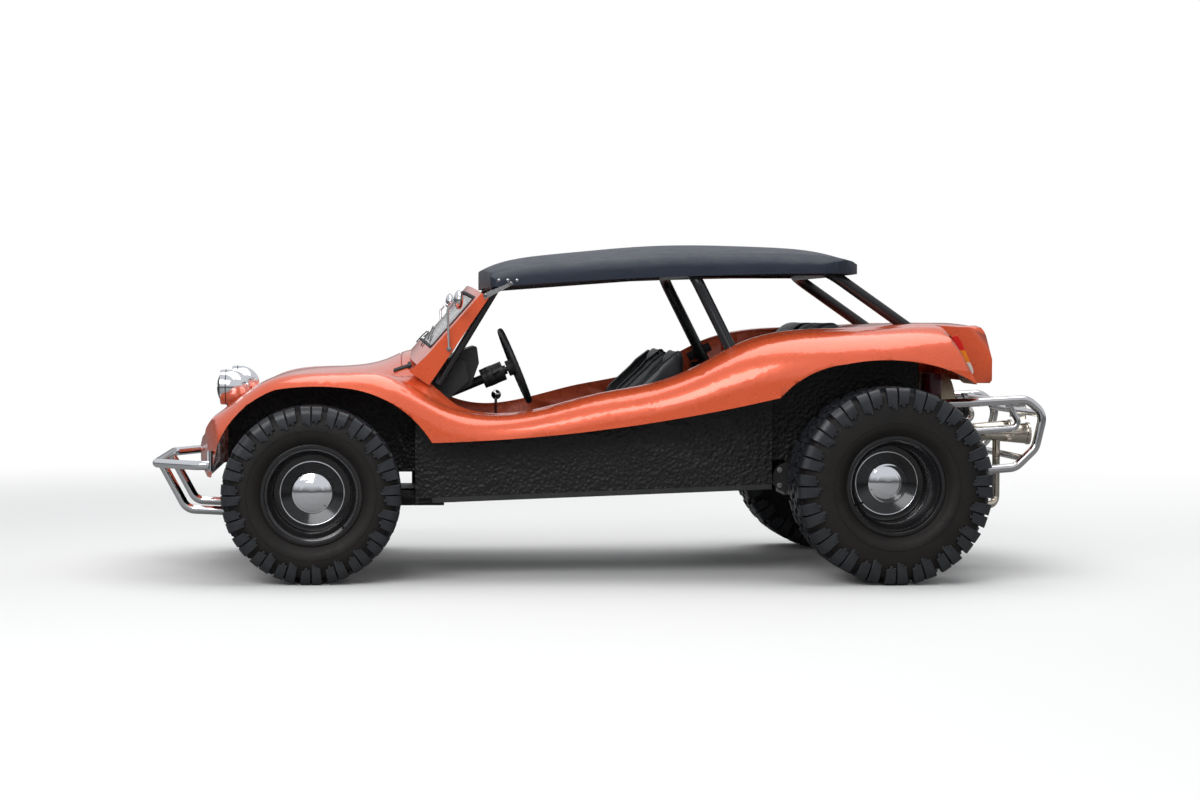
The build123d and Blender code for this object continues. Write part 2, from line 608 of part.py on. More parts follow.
def wheel_profile(rim_face, rim_width, disc_depth):
    """Rolled rim with a drop centre and a flat disc set deep inside it."""
    inner_face = rim_face - rim_width
    lip, seat, drop = RIM_RADIUS + RIM_LIP, RIM_RADIUS, RIM_RADIUS - RIM_DROP
    disc = rim_face - disc_depth
    return make_face(Polyline(
        (lip, rim_face), (lip, rim_face - 8), (seat, rim_face - 8), (seat, rim_face - 48),
        (drop, rim_face - 64), (drop, inner_face + 56), (seat, inner_face + 42),
        (seat, inner_face + 8), (lip, inner_face + 8), (lip, inner_face),
        (seat - RIM_WALL, inner_face), (seat - RIM_WALL, inner_face + 40),
        (drop - RIM_WALL, inner_face + 54), (drop - RIM_WALL, disc - DISC_THICK),
        (32, disc - DISC_THICK), (32, disc), (drop - RIM_WALL, disc), (drop - RIM_WALL, rim_face - 66),
        (seat - RIM_WALL, rim_face - 50), (seat - RIM_WALL, rim_face), close=True))


def cap_profile(rim_face, disc_depth):
    base = rim_face - disc_depth + SEAT_CLEARANCE
    radius = CAP_RADIUS
    wall = 3
    return make_face(Wire([
        Line((0, base + CAP_DEPTH - wall), (0, base + CAP_DEPTH)),
        Line((0, base + CAP_DEPTH), (LAMP_TIP, base + CAP_DEPTH)),
        ThreePointArc((LAMP_TIP, base + CAP_DEPTH), (radius * 0.6, base + CAP_DEPTH * 0.72),
                      (radius - 12, base + 6)),
        Line((radius - 12, base + 6), (radius, base + 4)),
        Line((radius, base + 4), (radius, base)),
        Line((radius, base), (radius - 14, base)),
        ThreePointArc((radius - 14, base), (radius * 0.6, base + CAP_DEPTH * 0.70 - wall),
                      (LAMP_TIP, base + CAP_DEPTH - wall)),
        Line((LAMP_TIP, base + CAP_DEPTH - wall), (0, base + CAP_DEPTH - wall)),
    ]))


def drum_profile(rim_face, disc_depth, bore, depth, radius):
    face = rim_face - disc_depth - DISC_THICK
    return make_face(Polyline(
        (bore, face), (radius, face), (radius, face - depth), (radius - DRUM_WALL, face - depth),
        (radius - DRUM_WALL, face - DRUM_WALL), (bore + 16, face - DRUM_WALL),
        (bore + 16, face - depth), (bore, face - depth), close=True))


REAR_SHAFT = 18
REAR_DRUM_RADIUS = 125
REAR_DRUM_DEPTH = 55
BANK_LOW = 60                   # cylinder banks below and above the crankshaft
BANK_HIGH = 70

# Wheel stations: name, axle x, side, tyre radius, tyre width, tread pitches, rim face, rim width,
# disc depth, drum bore, drum depth, drum radius
WHEELS = [
    (f"{end}_{name}", x, side, *sizes)
    for end, x, sizes in (
        ("front", front(0), (FRONT_TYRE_RADIUS, FRONT_TYRE_WIDTH, 18, FRONT_RIM_FACE, FRONT_RIM_WIDTH,
                             FRONT_DISC_DEPTH, SPINDLE_RADIUS + PIN_CLEARANCE, DRUM_DEPTH, DRUM_RADIUS)),
        ("rear", rear(0), (REAR_TYRE_RADIUS, REAR_TYRE_WIDTH, 20, REAR_RIM_FACE, REAR_RIM_WIDTH,
                           REAR_DISC_DEPTH, REAR_SHAFT + PIN_CLEARANCE, REAR_DRUM_DEPTH,
                           REAR_DRUM_RADIUS)),
    )
    for name, side in MIRROR_SIDES
]


def save_wheels():
    for name, x, side, radius, width, pitches, face, rim_width, depth, bore, drum_depth, drum_radius in WHEELS:
        hub = Plane(origin=(x, side * (face - rim_width / 2), radius), x_dir=(1, 0, 0), z_dir=(0, 1, 0))
        save(f"tyre_{name}", hub * tyre(radius, width, rim_width, pitches))
        wheel = on_hub(wheel_profile(face, rim_width, depth), x, side, radius)
        drum = on_hub(drum_profile(face, depth, bore, drum_depth, drum_radius), x, side, radius)
        save(f"wheel_{name}", wheel + drum)
        save(f"cap_{name}", on_hub(cap_profile(face, depth), x, side, radius))


# Screen and roof
SCREEN_TILT = 41                # from the vertical
SCREEN_BASE = (475, 940)        # station and height of the frame's lower front corner
SCREEN_HALF = 585
SCREEN_BOW = 55
SCREEN_HEIGHT = 345
SCREEN_BORDER = 45
GLASS_THICK = 6
FRAME_THICK = 26
ROOF_HALF = 585
ROOF_SKIN = 12


def screen_plane():
    tilt = radians(SCREEN_TILT)
    aft, z = SCREEN_BASE
    return Plane(origin=(front(aft), 0, z), x_dir=(0, 1, 0), z_dir=(sin(tilt), 0, cos(tilt)))


def screen_band(half, low, high, back, front_face):
    """Bowed slab in the plane of the screen between two depths."""
    chord = SCREEN_HALF

    def bow(y):
        return SCREEN_BOW * (1 - (y / chord) ** 2)

    sketch = make_face(Wire([
        ThreePointArc((-half, bow(half) + front_face), (0, SCREEN_BOW + front_face),
                      (half, bow(half) + front_face)),
        Line((half, bow(half) + front_face), (half, bow(half) + back)),
        ThreePointArc((half, bow(half) + back), (0, SCREEN_BOW + back), (-half, bow(half) + back)),
        Line((-half, bow(half) + back), (-half, bow(half) + front_face)),
    ]))
    plane = screen_plane()
    return extrude(plane.offset(low) * sketch, high - low)


def screen_frame(outer):
    band = screen_band(SCREEN_HALF, -60, SCREEN_HEIGHT, -FRAME_THICK, 0)
    band = band - screen_band(SCREEN_HALF - SCREEN_BORDER, SCREEN_BORDER - 15, SCREEN_HEIGHT - 30, -90, 90)
    pillar = make_face(Polyline(
        (front(400), 870), (front(SCREEN_BASE[0]), SCREEN_BASE[1]),
        (front(692), 1190), (front(738), 1190), (front(482), 812), close=True))
    frame = band
    for wedge in both_sides(side_prism(pillar, SCREEN_HALF - 28, SCREEN_HALF)):
        frame = frame + wedge
    return frame - Pos(0, 0, SEAT_CLEARANCE) * outer


def screen_glass():
    half = SCREEN_HALF - SCREEN_BORDER - SEAT_CLEARANCE
    return screen_band(half, SCREEN_BORDER - 15 + SEAT_CLEARANCE, SCREEN_HEIGHT - 30 - SEAT_CLEARANCE,
                       -16, -16 + GLASS_THICK)


# Roof sections: station behind the front axle, edge height, crown height
ROOF_SECTIONS = [
    (716, 1222, 1302),
    (810, 1230, 1342),
    (1120, 1253, 1388),
    (1500, 1273, 1420),
    (1880, 1286, 1420),
    (2200, 1292, 1396),
    (2350, 1293, 1330),
]


def roof_section(row, inset, drop):
    aft, z_edge, z_crown = row
    half = ROOF_HALF - inset
    rise = z_crown - z_edge
    z_hip = z_edge + rise * 0.28 - inset
    z_shoulder = z_edge + rise * 0.70 - inset
    y_shoulder = half - 110
    y_mid, z_mid = half - 32, z_hip + (z_shoulder - z_hip) * 0.66
    sketch = make_face(Wire([
        Line((half, z_edge - drop), (half, z_hip)),
        ThreePointArc((half, z_hip), (y_mid, z_mid), (y_shoulder, z_shoulder)),
        ThreePointArc((y_shoulder, z_shoulder), (0, z_crown - inset), (-y_shoulder, z_shoulder)),
        ThreePointArc((-y_shoulder, z_shoulder), (-y_mid, z_mid), (-half, z_hip)),
        Line((-half, z_hip), (-half, z_edge - drop)),
        Line((-half, z_edge - drop), (half, z_edge - drop)),
    ]))
    return Plane(origin=(front(aft), 0, 0), x_dir=(0, 1, 0), z_dir=(1, 0, 0)) * sketch


def roof_plan():
    """Plan outline with a bowed front edge and round rear corners."""
    nose, nose_side, tail = front(716), front(738), front(ROOF_SECTIONS[-1][0])
    corner = 215
    return make_face(Wire([
        ThreePointArc((nose_side, ROOF_HALF - 30), (nose, 0), (nose_side, 30 - ROOF_HALF)),
        ThreePointArc((nose_side, 30 - ROOF_HALF), (nose_side + 12, -ROOF_HALF + 9), (nose_side + 34, -ROOF_HALF)),
        Line((nose_side + 34, -ROOF_HALF), (tail - corner - 30, -ROOF_HALF)),
        ThreePointArc((tail - corner - 30, -ROOF_HALF), (tail - 78, -ROOF_HALF + 62),
                      (tail - 18, -ROOF_HALF + corner)),
        ThreePointArc((tail - 18, -ROOF_HALF + corner), (tail, 0), (tail - 18, ROOF_HALF - corner)),
        ThreePointArc((tail - 18, ROOF_HALF - corner), (tail - 78, ROOF_HALF - 62),
                      (tail - corner - 30, ROOF_HALF)),
        Line((tail - corner - 30, ROOF_HALF), (nose_side + 34, ROOF_HALF)),
        ThreePointArc((nose_side + 34, ROOF_HALF), (nose_side + 12, ROOF_HALF - 9), (nose_side, ROOF_HALF - 30)),
    ]))


def roof():
    outer = loft([roof_section(row, 0, 0) for row in ROOF_SECTIONS]) & plan_prism(roof_plan(), 1100, 1500)
    rows = list(ROOF_SECTIONS)
    rows[0] = (rows[0][0] + ROOF_SKIN,) + rows[0][1:]
    rows[-1] = (rows[-1][0] - ROOF_SKIN,) + rows[-1][1:]
    inner = loft([roof_section(row, ROOF_SKIN, 30) for row in rows])
    return outer - (inner & plan_prism(offset(roof_plan(), -ROOF_SKIN), 1100, 1500))


def roof_brackets():
    """Plate that ties each screen pillar to the edge of the roof."""
    plate = rounded([(front(712), 1172), (front(706), 1196), (front(824), 1246), (front(836), 1238)], 3)
    return both_sides(side_prism(plate, ROOF_HALF + SEAT_CLEARANCE, ROOF_HALF + 5))


# Roll cage
CAGE_Y = 540
STAY_Y = 445
LEG_TUBE = 16
CAGE_BEND = 70


def roll_cage(outer):
    screen_foot, screen_top = (front(522), 815), (front(772), 1232)
    hoop_foot, hoop_top = (front(1805), 885), (front(1595), 1298)
    stay_foot, stay_top = (rear(160), 1052), (rear(-200), 1302)
    legs = bent_tube([
        (screen_foot[0], -CAGE_Y, screen_foot[1]), (screen_top[0], -CAGE_Y, screen_top[1]),
        (screen_top[0], CAGE_Y, screen_top[1]), (screen_foot[0], CAGE_Y, screen_foot[1])],
        LEG_TUBE, CAGE_BEND * 0.6)
    hoop = bent_tube([
        (hoop_foot[0], -CAGE_Y, hoop_foot[1]), (hoop_top[0], -CAGE_Y, hoop_top[1]),
        (hoop_top[0], CAGE_Y, hoop_top[1]), (hoop_foot[0], CAGE_Y, hoop_foot[1])], CAGE_TUBE, CAGE_BEND)
    stays = bent_tube([
        (stay_foot[0], -STAY_Y, stay_foot[1]), (stay_top[0], -STAY_Y, stay_top[1]),
        (stay_top[0], STAY_Y, stay_top[1]), (stay_foot[0], STAY_Y, stay_foot[1])], CAGE_TUBE, CAGE_BEND)
    stays = stays - Pos(0, 0, SEAT_CLEARANCE) * outer
    cage = legs + hoop + stays
    rail_y = CAGE_Y - 40
    for y in (-rail_y, rail_y):
        rail = rod((screen_top[0], y, screen_top[1]), (hoop_top[0], y, hoop_top[1]), LEG_TUBE)
        tail = rod((hoop_top[0], y * 0.8, hoop_top[1]), (stay_top[0], y * 0.8, stay_top[1]), LEG_TUBE)
        cage = cage + rail + tail
    foot = block(hoop_foot[0] - 70, hoop_foot[0] + 45, CAGE_Y, COCKPIT_HALF - SEAT_CLEARANCE,
                 hoop_foot[1] - 12, hoop_foot[1] + 10)
    for piece in both_sides(foot):
        cage = cage + piece
    return cage


# Seats and cabin
DRIVER_Y = 315
SEAT_HALF = 225
COLUMN_SLOPE = 22.6
WHEEL_HUB = (855, 890)          # station and height of the steering wheel's centre
GRIP_RADIUS = 162
GRIP_TUBE = 12
LOOP_Y = 400                    # side loops of the rear bumper
DASH_HALF = 495
LOOP_BEND = 70
BEND_LOSS = 7.82                # how far the bent loop stays inside its rear corner
PLATE_AFT = 748
PLATE_HOLES = 190               # between the two fixing holes of the number plate
PLATE_BOLT = 3.5


def seat(side):
    """Bucket seat: cushion, leaning back and two raised side wings."""
    cushion = rounded([(front(1060), 430), (front(1060), 560), (front(1100), 590), (front(1440), 540),
                       (front(1540), 440)], 20)
    back = rounded([(front(1400), 500), (front(1515), 960), (front(1550), 985), (front(1578), 950),
                    (front(1570), 850), (front(1540), 450)], 16)
    wing = rounded([(front(1090), 440), (front(1080), 620), (front(1250), 640), (front(1330), 800),
                    (front(1465), 925), (front(1545), 972), (front(1572), 850), (front(1542), 446)], 16)
    body = side_prism(cushion, -SEAT_HALF + 10, SEAT_HALF - 10) + side_prism(back, -SEAT_HALF + 10,
                                                                         SEAT_HALF - 10)
    for y in (-SEAT_HALF, SEAT_HALF - 50):
        body = body + side_prism(wing, y, y + 50)
    base = raked(block(front(1130), front(1480), -160, 160, SILL_Z + FLOOR_THICK + SEAT_CLEARANCE, 460))
    return Pos(0, side * DRIVER_Y, 0) * (body + base)


def rear_bench():
    low = BENCH_FLOOR_Z + SEAT_CLEARANCE
    cushion = rounded([(rear(-590), low), (rear(-600), 690), (rear(-560), 720), (rear(-330), 690),
                       (rear(-300), low)], 18)
    back = rounded([(rear(-360), 640), (rear(-290), 1050), (rear(-240), 1098), (rear(-165), 1103),
                    (rear(-125), 1060), (rear(-130), 900), (rear(-230), 620)], 18)
    half = 500
    bench = side_prism(cushion, -half, half)
    for y in (-half + 10, 30):
        bench = bench + side_prism(back, y, y + half - 40)
    low_back = rounded([(rear(-360), 640), (rear(-320), 900), (rear(-200), 900), (rear(-230), 620)], 15)
    return bench + side_prism(low_back, -half, half)


def column_point(distance):
    """Point on the column's axis, measured down from the steering wheel's centre."""
    slope = radians(COLUMN_SLOPE)
    aft, z = WHEEL_HUB
    return (front(aft) - distance * cos(slope), -DRIVER_Y, z - distance * sin(slope))


def steering_wheel():
    plane = Plane(origin=column_point(0), x_dir=(0, 1, 0),
                  z_dir=Vector(*column_point(-1)) - Vector(*column_point(0)))
    grip = plane * Torus(GRIP_RADIUS, GRIP_TUBE)
    hub = rod(column_point(34), column_point(-12), 34)
    wheel = grip + hub
    for turn in (30, 150, 270):
        spoke = Rot(0, 0, turn) * (Pos(GRIP_RADIUS / 2, 0, 0) * Box(GRIP_RADIUS, 30, 5))
        wheel = wheel + (plane * spoke)
    return wheel - rod(column_point(60), column_point(8), 10 + PIN_CLEARANCE)


def steering_column():
    tube = rod(column_point(330), column_point(34 + RUN_CLEARANCE), 20)
    shroud = rod(column_point(150), column_point(52), 42)
    shaft = rod(column_point(60), column_point(10), 10)
    return tube + shroud + shaft


def dashboard():
    lip = front(COWL_AFT) + SEAT_CLEARANCE
    beam = rounded([(lip, 800), (lip, 880), (front(560), 925), (front(640), 915),
                    (front(652), 830), (front(560), 745)], 14)
    pod = rounded([(front(540), 900), (front(600), 950), (front(686), 979), (front(696), 905),
                   (front(662), 808), (front(560), 760)], 10)
    dash = side_prism(beam, -DASH_HALF, DASH_HALF)
    dash = dash + side_prism(pod, -DRIVER_Y - 150, -DRIVER_Y + 150)
    return dash - rod(column_point(420), column_point(0), 20 + SEAT_CLEARANCE)


def controls():
    """Gear lever, handbrake and pedals."""
    tunnel_top = SILL_Z + TUNNEL_HEIGHT + floor_z(front(800)) - SILL_Z + SEAT_CLEARANCE
    x = front(785)
    lever = rod((x, 0, tunnel_top + 20), (x + 5, 0, 740), 6) + Pos(x + 6, 0, 756) * Sphere(22)
    low = SILL_Z + TUNNEL_HEIGHT
    boot = raked(rod((x, 0, low + SEAT_CLEARANCE), (x, 0, low + 40), 30))
    aft_top = tunnel_top + floor_z(front(1050)) - floor_z(front(800))
    brake = rod((front(1050), 0, aft_top + 20), (front(900), 0, 600), 13)
    pivot = raked_block(front(1030), front(1075), -22, 22, TUNNEL_HEIGHT + SEAT_CLEARANCE, TUNNEL_HEIGHT + 40)
    return [lever + boot, brake + pivot] + pedals()


def pedals():
    """Three pedals that stand on the foot floor in front of the driver."""
    floor = FRONT_TYRE_RADIUS + HEAD_HIGH + SEAT_CLEARANCE + FLOOR_THICK + SEAT_CLEARANCE
    row = []
    for inboard, width in ((34, 50), (104, 50), (178, 44)):
        y = inboard - NOSE_WALL_Y
        foot = block(front(318), front(350), y - 14, y + 14, floor, floor + 12)
        arm = rod((front(334), y, floor + 8), (front(300), y, floor + 170), 7)
        pad = Pos(front(302), y, floor + 175) * (Rot(0, 12, 0) * Box(12, width, 72))
        row.append(foot + arm + pad)
    return row


# Tail: tail lamps, mirrors, bumpers, running gear
def tail_lamps():
    """Long lamps that stand on the slanted ends of the rear fenders."""
    top, low = Vector(*FENDER_END_TOP), Vector(*FENDER_END_LOW)
    along = (low - top).normalized()
    out = Vector(-along.Y, along.X)

    def corner(down, proud):
        place = top + along * down + out * proud
        return (rear(place.X), place.Y)

    lens = rounded([corner(96, SEAT_CLEARANCE), corner(104, 30), corner(124, 34), corner(262, 27),
                    corner(276, 20), corner(280, SEAT_CLEARANCE)], 4)
    return both_sides(side_prism(lens, HUMP_HALF + 50, HUMP_HALF + 160))


def mirrors():
    z = 1170
    base_y = SCREEN_HALF + SEAT_CLEARANCE
    base = rod((front(565), base_y, 965), (front(565), base_y + 14, 965), 10)
    stem = rod((front(565), base_y + 8, 965), (front(558), 622, 1130), 5)
    arm = rod((front(558), 622, 1130), (front(590), 645, z), 5)
    head = Pos(front(603), 648, z) * scale(Sphere(1), by=(20, 56, 40))
    return both_sides(base + stem + arm + head)


def front_bumper(outer):
    x0 = front(-FRONT_OVERHANG) + BUMPER_TUBE
    z = 480
    end = (front(-416), 702, z + 6)
    bar = bent_tube([(end[0], -end[1], end[2]), (front(-470), -690, z + 4), (x0, -420, z - 2),
                     (x0, 420, z - 2), (front(-470), 690, z + 4), end], BUMPER_TUBE, 60)
    bumper = bar
    for y in (-250, 250):
        hoop = bent_tube([(x0, y, z - 2), (front(-545), y, 270), (front(-380), y, 262),
                          (front(BEAM_AFT), y, FRONT_TYRE_RADIUS - BEAM_SPREAD)], BUMPER_TUBE, 60)
        bumper = bumper + (hoop - rod((front(BEAM_AFT), y - 60, FRONT_TYRE_RADIUS - BEAM_SPREAD),
                                      (front(BEAM_AFT), y + 60, FRONT_TYRE_RADIUS - BEAM_SPREAD),
                                      BEAM_TUBE + SEAT_CLEARANCE)
                           - block(front(BEAM_AFT) - 5, front(0), y - 60, y + 60, 200, 400))
    post = rod((end[0], end[1] - 6, 462), (end[0], end[1] - 6, 545), 12)
    stub = rod((end[0], 540, 534), (end[0], end[1] - 6, 534), 9) - Pos(0, SEAT_CLEARANCE, 0) * outer
    for bracket in both_sides(post + stub):
        bumper = bumper + bracket
    return bumper


def rear_bumper():
    x1 = rear(REAR_OVERHANG) - BUMPER_TUBE + BEND_LOSS
    side = bent_tube([(rear(TUB_BACK) + TUB_WALL + SEAT_CLEARANCE, -LOOP_Y, 725), (rear(60), -LOOP_Y, 725),
                      (rear(440), -LOOP_Y, 738), (rear(690), -LOOP_Y, 752),
                      (x1, -LOOP_Y, 690), (rear(728), -LOOP_Y, 540), (rear(640), -LOOP_Y, 455),
                      (rear(440), -LOOP_Y, 440)], BUMPER_TUBE, LOOP_BEND)
    inner = bent_tube([(rear(600), -LOOP_Y, 740), (rear(668), -LOOP_Y, 628), (rear(440), -LOOP_Y, 612)],
                      BUMPER_TUBE - 5, 30)
    loop = side + inner
    bumper = loop + mirror(loop, about=Plane.XZ)
    for aft, z in ((PLATE_AFT, 690), (680, 494), (598, 741)):
        bumper = bumper + rod((rear(aft), -LOOP_Y, z), (rear(aft), LOOP_Y, z), BUMPER_TUBE - 4)
    x = rear(PLATE_AFT) + 8
    holder = block(x, x + 5, -130, 130, 655, 735)
    for y in (-PLATE_HOLES / 2, PLATE_HOLES / 2):
        holder = holder - rod((x - 5, y, 722), (x + 10, y, 722), PLATE_BOLT)
    return bumper + holder


DAMPER_RADIUS = 16
SPRING_PLATE_Y = 530            # inner face of each rear spring plate


def rear_suspension():
    y = 560
    x, z = rear(TORSION_AFT), TORSION_Z
    tube = rod((x, -y, z), (x, y, z), TORSION_TUBE)
    pieces = [tube]
    cover = rod((x, y, z), (x, y + 24, z), 62)
    pieces += both_sides(cover)
    plate_points = Polyline((x - 20, z - 40), (x - 20, z + 40), (rear(60), REAR_TYRE_RADIUS + 35),
                            (rear(60), REAR_TYRE_RADIUS - 35), close=True)
    plate = side_prism(make_face(plate_points), SPRING_PLATE_Y, SPRING_PLATE_Y + 10)
    pieces += both_sides(plate - rod((rear(0), 400, REAR_TYRE_RADIUS), (rear(0), 700, REAR_TYRE_RADIUS),
                                     36 + SEAT_CLEARANCE))
    return pieces[0].fuse(*pieces[1:])


def dampers():
    """Front dampers outside the beam towers and rear dampers inside the wheel arches."""
    axle = FRONT_TYRE_RADIUS
    arm_y = BEAM_HALF + TOWER_THICK + ARM_THICK + SEAT_CLEARANCE
    tower_y = BEAM_HALF + TOWER_THICK + SEAT_CLEARANCE
    low, high = (front(-34), axle - BEAM_SPREAD), (front(-140), axle + 172)
    y = arm_y + DAMPER_RADIUS + 2
    front_body = rod((low[0], y, low[1] + 12), (high[0], y, high[1] - 12), DAMPER_RADIUS)
    front_eyes = rod((low[0], arm_y, low[1]), (low[0], y + 14, low[1]), 13) + rod(
        (high[0], tower_y, high[1]), (high[0], y + 14, high[1]), 13)
    plate_y = SPRING_PLATE_Y - SEAT_CLEARANCE
    wall_y = ARCH_WALL_Y - SEAT_CLEARANCE
    low, high = (rear(56), REAR_TYRE_RADIUS - 8), (rear(-20), 700)
    y = plate_y - DAMPER_RADIUS - 2
    rear_body = rod((low[0], y, low[1] + 12), (high[0], y, high[1] - 12), DAMPER_RADIUS)
    rear_eyes = rod((low[0], y - 14, low[1]), (low[0], plate_y, low[1]), 13) + rod(
        (high[0], y - 14, high[1]), (high[0], wall_y, high[1]), 13)
    return both_sides(front_body + front_eyes) + both_sides(rear_body + rear_eyes)


def transaxle():
    z = REAR_TYRE_RADIUS
    face = REAR_RIM_FACE - REAR_DISC_DEPTH - DISC_THICK
    case = block(rear(-330), rear(110), -110, 110, z - 95, z + 95)
    bell = rod((rear(60), 0, z), (rear(150), 0, z), 165)
    axles = rod((rear(0), -face + REAR_DRUM_DEPTH + 30, z), (rear(0), face - REAR_DRUM_DEPTH - 30, z), 36)
    shafts = rod((rear(0), -face + 2, z), (rear(0), face - 2, z), REAR_SHAFT)
    plates = both_sides(rod((rear(0), face - REAR_DRUM_DEPTH - RUN_CLEARANCE - PLATE_THICK, z),
                            (rear(0), face - REAR_DRUM_DEPTH - RUN_CLEARANCE, z), REAR_DRUM_RADIUS - 6))
    return case + bell + axles + shafts + plates[0] + plates[1]


FIN_COUNT = 7                   # slots between the cooling fins of each bank
FIN_PITCH = 26
FIN_DEPTH = 14
FIN_SLOT = 9


def engine():
    """Flat four: crankcase, finned banks with valve covers, and the crankshaft pulley."""
    z = REAR_TYRE_RADIUS
    case = block(rear(150 + SEAT_CLEARANCE), rear(520), -130, 130, z - 110, z + 150)
    bank = block(rear(180), rear(500), 130, 352, z - BANK_LOW, z + BANK_HIGH)
    for slot in range(FIN_COUNT):
        y = 146 + FIN_PITCH * slot
        bank = bank - block(rear(500) - FIN_DEPTH, rear(520), y, y + FIN_SLOT, z - 80, z + 90)
        bank = bank - block(rear(160), rear(180) + FIN_DEPTH, y, y + FIN_SLOT, z - 80, z + 90)
        bank = bank - block(rear(160), rear(520), y, y + FIN_SLOT, z - 80, z - BANK_LOW + FIN_DEPTH)
    cover = block(rear(196), rear(484), 352, 374, z - 50, z + 40)
    cover = fillet(cover.edges().filter_by(Axis.Y), 24)
    pulley = rod((rear(520), 0, z), (rear(544), 0, z), 78)
    motor = case + pulley
    for side in both_sides(bank + cover):
        motor = motor + side
    return motor


def fan_shroud():
    """Sheet-metal housing that arches over the fan, with the generator behind it."""
    z = REAR_TYRE_RADIUS
    case_top, bank_top = z + 150 + SEAT_CLEARANCE, z + BANK_HIGH + SEAT_CLEARANCE
    outline = make_face(Wire([
        Line((335, bank_top), (335, z + 290)),
        ThreePointArc((335, z + 290), (250, z + 404), (120, z + 450)),
        Line((120, z + 450), (-120, z + 450)),
        ThreePointArc((-120, z + 450), (-250, z + 404), (-335, z + 290)),
        Line((-335, z + 290), (-335, bank_top)),
        Line((-335, bank_top), (-145, bank_top)),
        Line((-145, bank_top), (-145, case_top)),
        Line((-145, case_top), (145, case_top)),
        Line((145, case_top), (145, bank_top)),
        Line((145, bank_top), (335, bank_top)),
    ]))
    plane = Plane(origin=(rear(330), 0, 0), x_dir=(0, 1, 0), z_dir=(1, 0, 0))
    shroud = extrude(plane * outline, 64)
    generator = rod((rear(394), 0, z + 300), (rear(500), 0, z + 300), 48)
    pulley = rod((rear(500), 0, z + 300), (rear(520), 0, z + 300), 58)
    return shroud + generator + pulley


def filters():
    """Carburettor, filter and inlet pipe over each bank of cylinders."""
    z = REAR_TYRE_RADIUS
    x, y = rear(280), 330
    bank_top = z + BANK_HIGH + SEAT_CLEARANCE
    pipe = bent_tube([(x - 50, 270, bank_top), (x - 50, 270, bank_top + 120), (x, y, z + 310)], 17, 30)
    carburettor = rod((x, y, z + 300), (x, y, z + 362), 26)
    filter_can = rod((x, y, z + 362), (x, y, z + 452), 45)
    return both_sides(pipe + carburettor + filter_can)


def exhaust():
    """Two silencers between the bumper loops, each fed by a pipe from its bank."""
    z = REAR_TYRE_RADIUS
    y = 150
    muffler = make_face(Wire([
        Line((0, 0), (30, 0)),
        Line((30, 0), (30, 30)),
        ThreePointArc((30, 30), (38, 120), (46, 206)),
        Line((46, 206), (50, 210)),
        Line((50, 210), (50, 222)),
        Line((50, 222), (0, 222)),
        Line((0, 222), (0, 0)),
    ]))
    muffler = Plane(origin=(rear(546), y, 592), x_dir=(0, 1, 0), z_dir=(1, 0, 0)) * revolve(
        Plane.XZ * muffler, Axis.Z)
    pipe = bent_tube([(rear(440), 300, z - BANK_LOW - SEAT_CLEARANCE), (rear(440), 300, z - 150),
                      (rear(620), y, z - 130), (rear(620), y, 575)], 17, 40)
    return both_sides(muffler + pipe)


def fuel_tank():
    tank = block(front(-TANK_REACH), front(150), -300, 300, TANK_Z, 750)
    tank = fillet(tank.edges().filter_by(Axis.Z), 60)
    neck = rod((front(-60), 0, 745), (front(-60), 0, 790), 32)
    cap = rod((front(-60), 0, 790), (front(-60), 0, 806), 40)
    return tank + neck + cap


os.makedirs("parts", exist_ok=True)
outer_volume, inner_volume, body, bonnet = shell_and_bonnet()
save("body_shell", body)
save("bonnet", bonnet)
save("tub", tub(inner_volume))
save("floor_pan", floor_pan())
save("screen_frame", screen_frame(outer_volume))
save("screen_glass", screen_glass())
save("roof", roof())
save("roll_cage", roll_cage(outer_volume))
save("dashboard", dashboard())
save("steering_column", steering_column())
save("steering_wheel", steering_wheel())
save("controls", controls())
save("seats", [seat(sign) for name, sign in MIRROR_SIDES])
for side_name, side_sign in MIRROR_SIDES:
    save(f"knuckle_{side_name}", knuckle(side_sign))
save("rear_bench", rear_bench())
save("headlamps", [lamp_bowl(-LAMP_Y), lamp_bowl(LAMP_Y)])
save("headlamp_lenses", [lamp_lens(-LAMP_Y), lamp_lens(LAMP_Y)])
save("tail_lamps", tail_lamps())
save("mirrors", mirrors())
save("front_bumper", front_bumper(outer_volume))
save("rear_bumper", rear_bumper())
save("front_beam", front_beam())
save("track_rod", track_rod())
save("dampers", dampers())
save("bonnet_latches", latches(outer_volume))
save("rear_suspension", rear_suspension())
save("transaxle", transaxle())
save("engine", engine())
save("fan_shroud", fan_shroud())
save("filters", filters())
save("roof_brackets", roof_brackets())
save("exhaust", exhaust())
save("fuel_tank", fuel_tank())
save_wheels()
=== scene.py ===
# %% [markdown]
# Dune buggy: dressing a fixed frame
#
# The model arrives as a frame of plain solids that already have the right size and place.
# This script gives each of them its finish and adds what a plain solid lacks: tread blocks,
# chrome rims, rubber seals, stitched seats and so on. Every length is in metres, X runs to the
# tail, Y to the right side of the car and Z up.

# %% Load the frame
import json
import math

import bpy
from mathutils import Matrix, Vector

